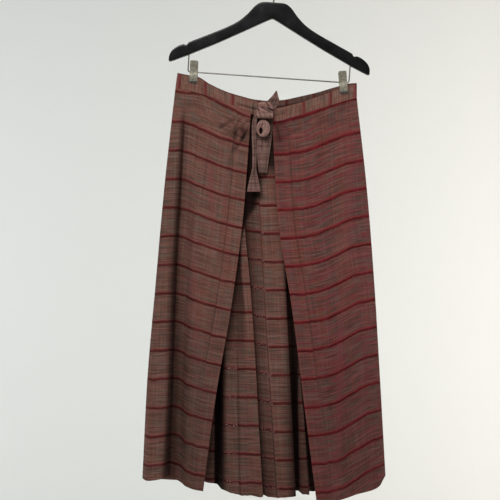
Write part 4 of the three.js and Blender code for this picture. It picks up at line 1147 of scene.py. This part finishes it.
# Hanger, bar, hook and clips
def hardCoat(name, colour, dull, rough, roughSpread, scale, bumpDepth, metallic=0.0, specular=0.5):
    # Colour worn a little paler in patches, with a roughness that varies as handled surfaces do
    material, tree = newMaterial(name)
    where = addNode(tree, "ShaderNodeTexCoord")
    patches = addNode(tree, "ShaderNodeTexNoise", {
        0: where.outputs["Object"], "Scale": 1 / (scale * mm), "Detail": 4.0, "Roughness": 0.6})
    amount = addNode(tree, "ShaderNodeMapRange", {0: patches.outputs[0], 1: 0.42, 2: 0.68})
    paint = addNode(tree, "ShaderNodeMix", {0: amount.outputs[0], 6: linear(colour),
                                            7: linear(dull)}, data_type="RGBA")
    gloss = addNode(tree, "ShaderNodeMapRange", {
        0: patches.outputs[0], 1: 0.3, 2: 0.7, 3: rough - roughSpread, 4: rough + roughSpread})
    grain = addNode(tree, "ShaderNodeTexNoise", {
        0: where.outputs["Object"], "Scale": 1 / (0.9 * mm), "Detail": 2.0})
    bump = addNode(tree, "ShaderNodeBump", {"Height": grain.outputs[0], "Strength": 0.3,
                                            "Distance": bumpDepth * mm})
    shader = addNode(tree, "ShaderNodeBsdfPrincipled", {
        "Base Color": paint.outputs[2], "Roughness": gloss.outputs[0],
        "Normal": bump.outputs[0], "Metallic": metallic, "Specular IOR Level": specular})
    addNode(tree, "ShaderNodeOutputMaterial", {"Surface": shader.outputs[0]})
    return material


# Black lacquered plastic: near-black with a soft satin gloss, a little greyer where it is handled
lacquer = hardCoat("blackLacquer", "#030303", "#080807", 0.26, 0.05, 38, 0.03, specular=0.3)
# Drawn steel wire: cool grey, brushed along the draw, dull in patches
wireSteel = hardCoat("drawnSteel", "#8d8a84", "#6f6b64", 0.34, 0.10, 6, 0.02, metallic=1.0)
# Nickel-plated strip: warmer and duller, finger-marked
nickel = hardCoat("nickelPlate", "#a29d8e", "#7f7a6c", 0.66, 0.08, 5, 0.03, metallic=1.0)
# Moulded rubber: nearly black, no gloss
rubber = hardCoat("mouldedRubber", "#37352f", "#45423b", 0.82, 0.06, 3, 0.05)

hangerMake = {
    "roll": 4.0, "shift": 3.5, "thick": 13, "edge": 2.8, "edgeSteps": 4, "underside": -96.5,
    # x from the middle, top and bottom heights of the right arm, in mm
    "stations": [(12, -62, -102.4), (20, -62.2, -106.6), (26, -63.4, -109.8),
                 (31.5, -65.8, -112.8), (36.5, -69.6, -115.5), (41.5, -74.6, -118.2),
                 (47, -81.6, -121.2), (54, -90.0, -125.0), (62.5, -98.6, -129.6),
                 (72, -106.8, -134.6), (84, -114.8, -141.0), (99, -123.0, -149.0),
                 (116, -131.4, -157.8), (133, -139.5, -166.2), (151, -148.0, -174.9),
                 (165, -154.4, -181.8), (175.6, -159.8, -187.2), (178.4, -165.7, -188.5),
                 (186.4, -164.4, -192.0), (191.5, -166.2, -194.3), (197, -168.8, -196.8),
                 (203.5, -173.3, -199.6), (209.3, -178.8, -202.0), (213.4, -185.6, -203.3),
                 (215.4, -192.8, -201.2)],
}
wires = {
    "bar": {"diameter": 3.0, "drop": 222, "half": 172.7, "bend": 5, "top": -186.5},
    "hook": {"diameter": 4.0, "inside": 36, "foot": -61.7, "from": -25, "to": 200,
             # x, z and lean in degrees of the stem's sections, up to where the hook starts
             "stem": [(3.5, -53.5, 0), (4.6, -48, 20), (7.4, -43.4, 40), (11.4, -38.4, 40),
                      (15.2, -33.0, 32)], "startLean": 25},
}
clipMake = {
    "out": 160, "width": 17, "plate": 1.2, "corner": 3.0,
    # depth y and height z of the plate's middle, from the tip of the lever to the tip of the jaw
    "profile": [(8.6, 24), (8.3, 22), (7.6, 18), (6.5, 12.5), (5.2, 7), (4.3, 3.4), (4.05, 0.5),
                (4.05, -2.5), (4.5, -5), (4.95, -8), (4.6, -12), (3.75, -16), (3.35, -19),
                (3.35, -24)],
    "tilt": {"left": 2.7, "right": -4.4}, "pad": -18.4, "padRise": 0.18, "bevel": 0.28,
    "rest": {"half": 5, "low": 6, "high": 19, "rim": 1.2, "deep": 0.55},
}
springMake = {"coil": 2.5, "wire": 1.1, "length": 8.4, "turns": 6}


def hangerPlace(x=0.0, z=0.0, turn=0.0, shift=True):
    # From a place on the upright hanger to the way it hangs
    moved = Matrix.Translation(((x + (hangerMake["shift"] if shift else 0)) * mm, 0, z * mm))
    roll = Matrix.Rotation(math.radians(hangerMake["roll"]), 4, "Y")
    return roll @ moved @ Matrix.Rotation(math.radians(turn), 4, "Y")


near = 0.1  # how close a vertex is to the place that it is picked by


def startShape(name):  # names the primitive just added and goes into it to shape it
    piece = bpy.context.active_object
    piece.name = name
    bpy.ops.object.transform_apply(location=True, rotation=True, scale=True)
    bpy.ops.object.mode_set(mode="EDIT")
    return piece


def pick(piece, wanted):
    # Selects the vertices at which wanted is true, and the edges and faces between them
    bpy.ops.mesh.select_all(action="DESELECT")
    shape = bmesh.from_edit_mesh(piece.data)
    for vertex in shape.verts:
        vertex.select_set(bool(wanted(vertex.co / mm)))
    shape.select_flush(True)
    bmesh.update_edit_mesh(piece.data)


def slide(x=0.0, y=0.0, z=0.0):
    bpy.ops.transform.translate(value=(x * mm, y * mm, z * mm))


def pull(x=0.0, y=0.0, z=0.0):
    bpy.ops.mesh.extrude_region_move(
        TRANSFORM_OT_translate={"value": (x * mm, y * mm, z * mm)})


def finishShape(piece, place, material, angle=40, modifiers=()):
    faceOutward()
    for kind, settings in modifiers:
        applyModifier(piece, kind, **settings)
    if not piece.data.materials:
        piece.data.materials.append(material)
    piece.matrix_world = place
    bpy.ops.object.transform_apply(location=True, rotation=True, scale=True)
    bpy.ops.object.shade_smooth_by_angle(angle=math.radians(angle))
    applyModifier(piece, "WEIGHTED_NORMAL", keep_sharp=True)  # flat faces stay flat
    return piece


def makeHangerBody():
    stations, thick = hangerMake["stations"], hangerMake["thick"]
    x, top, bottom = stations[0]
    bpy.ops.object.select_all(action="DESELECT")
    bpy.ops.mesh.primitive_cube_add(size=mm, location=(x / 2 * mm, 0, (top + bottom) / 2 * mm),
                                    scale=(x, thick, top - bottom))
    body = startShape("hangerBody")
    # the underside's middle is higher
    pick(body, lambda v: v.x < near and v.z < (top + bottom) / 2)
    slide(z=hangerMake["underside"] - bottom)
    for (x0, top0, bottom0), (x1, top1, bottom1) in zip(stations, stations[1:]):
        pick(body, lambda v: v.x > x0 - near)
        pull(x=x1 - x0)
        middle = (top0 + bottom0) / 2
        pick(body, lambda v: v.x > x1 - near and v.z > middle)
        slide(z=top1 - top0)
        pick(body, lambda v: v.x > x1 - near and v.z < middle)
        slide(z=bottom1 - bottom0)
    pick(body, lambda v: v.x < near)
    bpy.ops.mesh.delete(type="ONLY_FACE")
    return finishShape(body, hangerPlace(), lacquer, 35, [
        ("MIRROR", {"use_clip": True}),
        ("BEVEL", {"width": hangerMake["edge"] * mm, "segments": hangerMake["edgeSteps"],
                   "limit_method": "ANGLE", "angle_limit": math.radians(50),
                   "use_clamp_overlap": False})])


def startWire(name, wire, x, z):  # a round end that faces along the wire
    bpy.ops.object.select_all(action="DESELECT")
    bpy.ops.mesh.primitive_circle_add(vertices=16, radius=wire["diameter"] / 2 * mm,
                                      fill_type="NGON", location=(x * mm, 0, z * mm))
    return startShape(name)


def bendWire(x, z, degrees, steps):
    bpy.ops.mesh.spin(steps=steps, angle=math.radians(degrees), center=(x * mm, 0, z * mm),
                      axis=(0, 1, 0))


def makeBar():
    bar = wires["bar"]
    half, bend, low = bar["half"], bar["bend"], bar["bend"] - bar["drop"]
    piece = startWire("hangerBar", bar, -half, bar["top"])
    pull(z=low - bar["top"])
    bendWire(-half + bend, low, 90, 8)
    pull(x=2 * (half - bend))
    bendWire(half - bend, low, 90, 8)
    pull(z=bar["top"] - low)
    return finishShape(piece, hangerPlace(), wireSteel, 50)


def makeHook():
    hook = wires["hook"]
    radius = (hook["inside"] + hook["diameter"]) / 2
    centre = hook["diameter"] / 2 - radius
    piece = startWire("hangerHook", hook, hangerMake["shift"], hook["foot"])
    start = math.radians(hook["from"])
    stem = hook["stem"] + [(radius * math.cos(start), centre + radius * math.sin(start),
                            hook["startLean"])]
    at, leaning = (hangerMake["shift"], hook["foot"]), 0
    for x, z, lean in stem:
        pull(x=x - at[0], z=z - at[1])
        bpy.ops.transform.rotate(value=math.radians(leaning - lean), orient_axis="Y",
                                 center_override=(x * mm, 0, z * mm))
        at, leaning = (x, z), lean
    bendWire(0, centre, hook["to"] - hook["from"], 44)
    return finishShape(piece, hangerPlace(shift=False), wireSteel, 50)


def makeJaw(name, side, way):
    # One plate of a clip, its lever standing off and its tip pressed to the waistband
    profile, width = clipMake["profile"], clipMake["width"]
    (y0, z0), (y1, z1) = profile[:2]
    bpy.ops.object.select_all(action="DESELECT")
    bpy.ops.mesh.primitive_grid_add(x_subdivisions=4, y_subdivisions=1, size=mm,
                                    location=(0, way * y0 * mm, (z0 + z1) / 2 * mm),
                                    rotation=(math.pi / 2, 0, 0))
    bpy.context.active_object.scale = (width, z0 - z1, 1)
    piece = startShape(name)
    pick(piece, lambda v: v.z < z1 + near)
    slide(y=way * (y1 - y0))
    for (ya, za), (yb, zb) in zip(profile[1:], profile[2:]):
        pick(piece, lambda v: v.z < za + near)
        pull(y=way * (yb - ya), z=zb - za)
    rest = clipMake["rest"]  # pressed hollow for the thumb
    pick(piece, lambda v: abs(v.x) < rest["half"] and rest["low"] < v.z < rest["high"])
    bpy.ops.mesh.inset(thickness=rest["rim"] * mm)
    slide(y=-way * rest["deep"])
    end = profile[-1][1]
    pick(piece, lambda v: abs(v.x) > width / 2 - near and not end + near <= v.z <= z0 - near)
    bpy.ops.mesh.bevel(offset=clipMake["corner"] * mm, segments=4, affect="VERTICES")
    turn = clipMake["tilt"][side] - hangerMake["roll"]
    out = clipMake["out"] * (-1 if side == "left" else 1)
    bpy.ops.object.mode_set(mode="OBJECT")
    applyModifier(piece, "SOLIDIFY", thickness=clipMake["plate"] * mm, offset=0.0)
    piece.data.materials.append(nickel)
    piece.data.materials.append(rubber)
    bpy.ops.object.mode_set(mode="EDIT")
    pick(piece, lambda v: v.z < clipMake["pad"])
    piece.active_material_index = 1
    bpy.ops.object.material_slot_assign()
    bpy.ops.mesh.extrude_region_shrink_fatten(
        TRANSFORM_OT_shrink_fatten={"value": clipMake["padRise"] * mm})
    return finishShape(piece, hangerPlace(out, -wires["bar"]["drop"], turn), nickel, 40, [
        ("BEVEL", {"width": clipMake["bevel"] * mm, "segments": 2, "limit_method": "ANGLE",
                   "angle_limit": math.radians(55)})])


def makeSpring(name, side):
    coil, length, turns = springMake["coil"], springMake["length"], springMake["turns"]
    bpy.ops.object.select_all(action="DESELECT")
    bpy.ops.mesh.primitive_circle_add(
        vertices=10, radius=springMake["wire"] / 2 * mm, rotation=(math.pi / 2, 0, 0),
        location=(-length / 2 * mm, 0, coil * mm))
    piece = startShape(name)
    bpy.ops.object.mode_set(mode="OBJECT")
    applyModifier(piece, "SCREW", axis="X", screw_offset=length / turns * mm, iterations=turns,
                  steps=20, render_steps=20, use_merge_vertices=False)
    bpy.ops.object.mode_set(mode="EDIT")
    bpy.ops.mesh.select_all(action="SELECT")
    bpy.ops.mesh.fill_holes(sides=0)
    out = clipMake["out"] * (-1 if side == "left" else 1)
    return finishShape(piece, hangerPlace(out, -wires["bar"]["drop"]), wireSteel, 50)


for piece, node, slot in (
        (makeHangerBody(), "hanger_body", "black_lacquer"),
        (makeBar(), "hanger_bar", "wire_steel"),
        (makeHook(), "hanger_hook", "wire_steel")):
    settle(piece, node)
for side in ("left", "right"):
    clip = "clip" + side.capitalize()
    settle(makeJaw(clip + "Front", side, -1), f"clip_{side}_front")
    settle(makeJaw(clip + "Back", side, 1), f"clip_{side}_back")
    settle(makeSpring(clip + "Spring", side), f"clip_{side}_spring")
print("hanger and clips made")


# Sewing
stitch = {"length": 2.3, "radius": 0.32, "pitch": 3.2, "sides": 6, "sink": 0.35,
          "facingRows": (6, -8), "bandLines": (0.08, 0.92),
          # share of the length and of the radius at each section of a stitch
          "sections": [(-0.5, 0.25), (-0.36, 0.85), (0, 1), (0.36, 0.85), (0.5, 0.25)]}


def stitchThread():
    # Spun polyester thread: two twisted strands, a little brighter than the cloth
    material, tree = newMaterial("spunThread")
    where = addNode(tree, "ShaderNodeTexCoord")
    twist = addNode(tree, "ShaderNodeTexWave", {0: where.outputs["Object"],
                                                "Scale": 1 / (0.8 * mm), "Distortion": 1.0},
                    bands_direction="DIAGONAL")
    colour = addNode(tree, "ShaderNodeMix", {0: twist.outputs["Fac"], 6: linear("#3a221e"),
                                             7: linear("#5e3f38")}, data_type="RGBA")
    shader = addNode(tree, "ShaderNodeBsdfPrincipled", {
        "Base Color": colour.outputs[2], "Roughness": 0.7, "Specular IOR Level": 0.3})
    addNode(tree, "ShaderNodeOutputMaterial", {"Surface": shader.outputs[0]})
    return material


def levelLine(grid, field, level):
    # Where the field reaches a level on each row of the grid, with the grid's normal there
    normals, line = gridNormals(grid), []
    for points, normal, values in zip(grid, normals, field):
        way = 1 if values[-1] > values[0] else -1
        line.append([np.interp(level, values[::way], column[::way])
                     for column in (*points.T, *normal.T)])
    return np.array(line)


def lineAcross(grid, field, level):  # the same on each column
    line = levelLine(grid.transpose(1, 0, 2), field.T, level)
    line[:, 3:] *= -1  # the grid was turned over, so its normals are too
    return line


def drawStitch():  # points and faces of one stitch
    sides, sections = stitch["sides"], stitch["sections"]
    turn = 2 * np.pi * np.arange(sides) / sides
    shape = np.array([(along * stitch["length"], share * stitch["radius"] * np.cos(a),
                       share * stitch["radius"] * np.sin(a))
                      for along, share in sections for a in turn])
    skin = [(k * sides + j, k * sides + (j + 1) % sides, (k + 1) * sides + (j + 1) % sides,
             (k + 1) * sides + j) for k in range(len(sections) - 1) for j in range(sides)]
    skin += [tuple(range(sides))[::-1], tuple(range(len(shape) - sides, len(shape)))]
    return shape, skin


def sewLine(name, lines, outward):
    # One stitch, drawn once and copied along the lines
    shape, skin = drawStitch()
    pitch, points, faces = stitch["pitch"], [], []
    for line in lines:
        steps = np.linalg.norm(np.diff(line[:, :3], axis=0), axis=1)
        length = np.concatenate([[0], np.cumsum(steps)])
        spots = np.arange(pitch, length[-1] - pitch / 2, pitch)
        place = np.stack([np.interp(spots, length, line[:, k]) for k in range(6)], axis=1)
        ahead = np.stack([np.interp(spots + 1, length, line[:, k]) for k in range(3)], axis=1)
        along = ahead - place[:, :3]
        along /= np.linalg.norm(along, axis=1, keepdims=True)
        normal = outward * place[:, 3:] / np.linalg.norm(place[:, 3:], axis=1, keepdims=True)
        side = np.cross(normal, along)
        middle = place[:, :3] + normal * (wall / 2 + stitch["radius"] * (1 - stitch["sink"]))
        for k in range(len(spots)):
            start = len(points) * len(shape)
            points.append(middle[k] + shape @ np.stack([along[k], side[k], normal[k]]))
            faces += [tuple(start + corner for corner in face) for face in skin]
    mesh = bpy.data.meshes.new(name)
    mesh.from_pydata((np.concatenate(points) * mm).tolist(), [], faces)
    piece = addPiece(name, mesh, thread)
    faceOutward()
    bpy.ops.object.shade_smooth_by_angle(angle=math.radians(60))
    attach(piece, "root")
    return piece


thread = stitchThread()
facings = {"frontLeft": leftAcross, "frontRight": rightAcross}
for name in ("frontLeft", "frontRight", "pleatsLeft", "pleatsRight", "back"):
    grid = grids[name]
    lines = [lineAcross(grid, grid[..., 2] - grid[-1:, :, 2], panelMake["hemTurn"])]
    if name in facings:
        kept = slice(*stitch["facingRows"])
        lines.append(levelLine(grid[kept], facings[name][kept], panelMake["facing"]))
    sewLine(name + "Stitches", lines, -1 if name == "back" else 1)
for name in bandPieces:
    rows, columns = bandMake["rows"] + 1, bandMake["columns"] + 1
    share = np.broadcast_to(np.linspace(0, 1, rows)[:, None], (rows, columns))
    lines = [lineAcross(grids[name], share, level) for level in stitch["bandLines"]]
    sewLine(name + "Stitches", lines, -1 if name == "bandBack" else 1)
print("sewing made")


for name, pieces in (("tieTailLong", [tie["tieKnot"], tie["tieLoop"], tie["tieEndUp"]]),
                     ("tieTailShort", [])):
    rows = np.array(tieStraps[name]["rows"], float) * mm
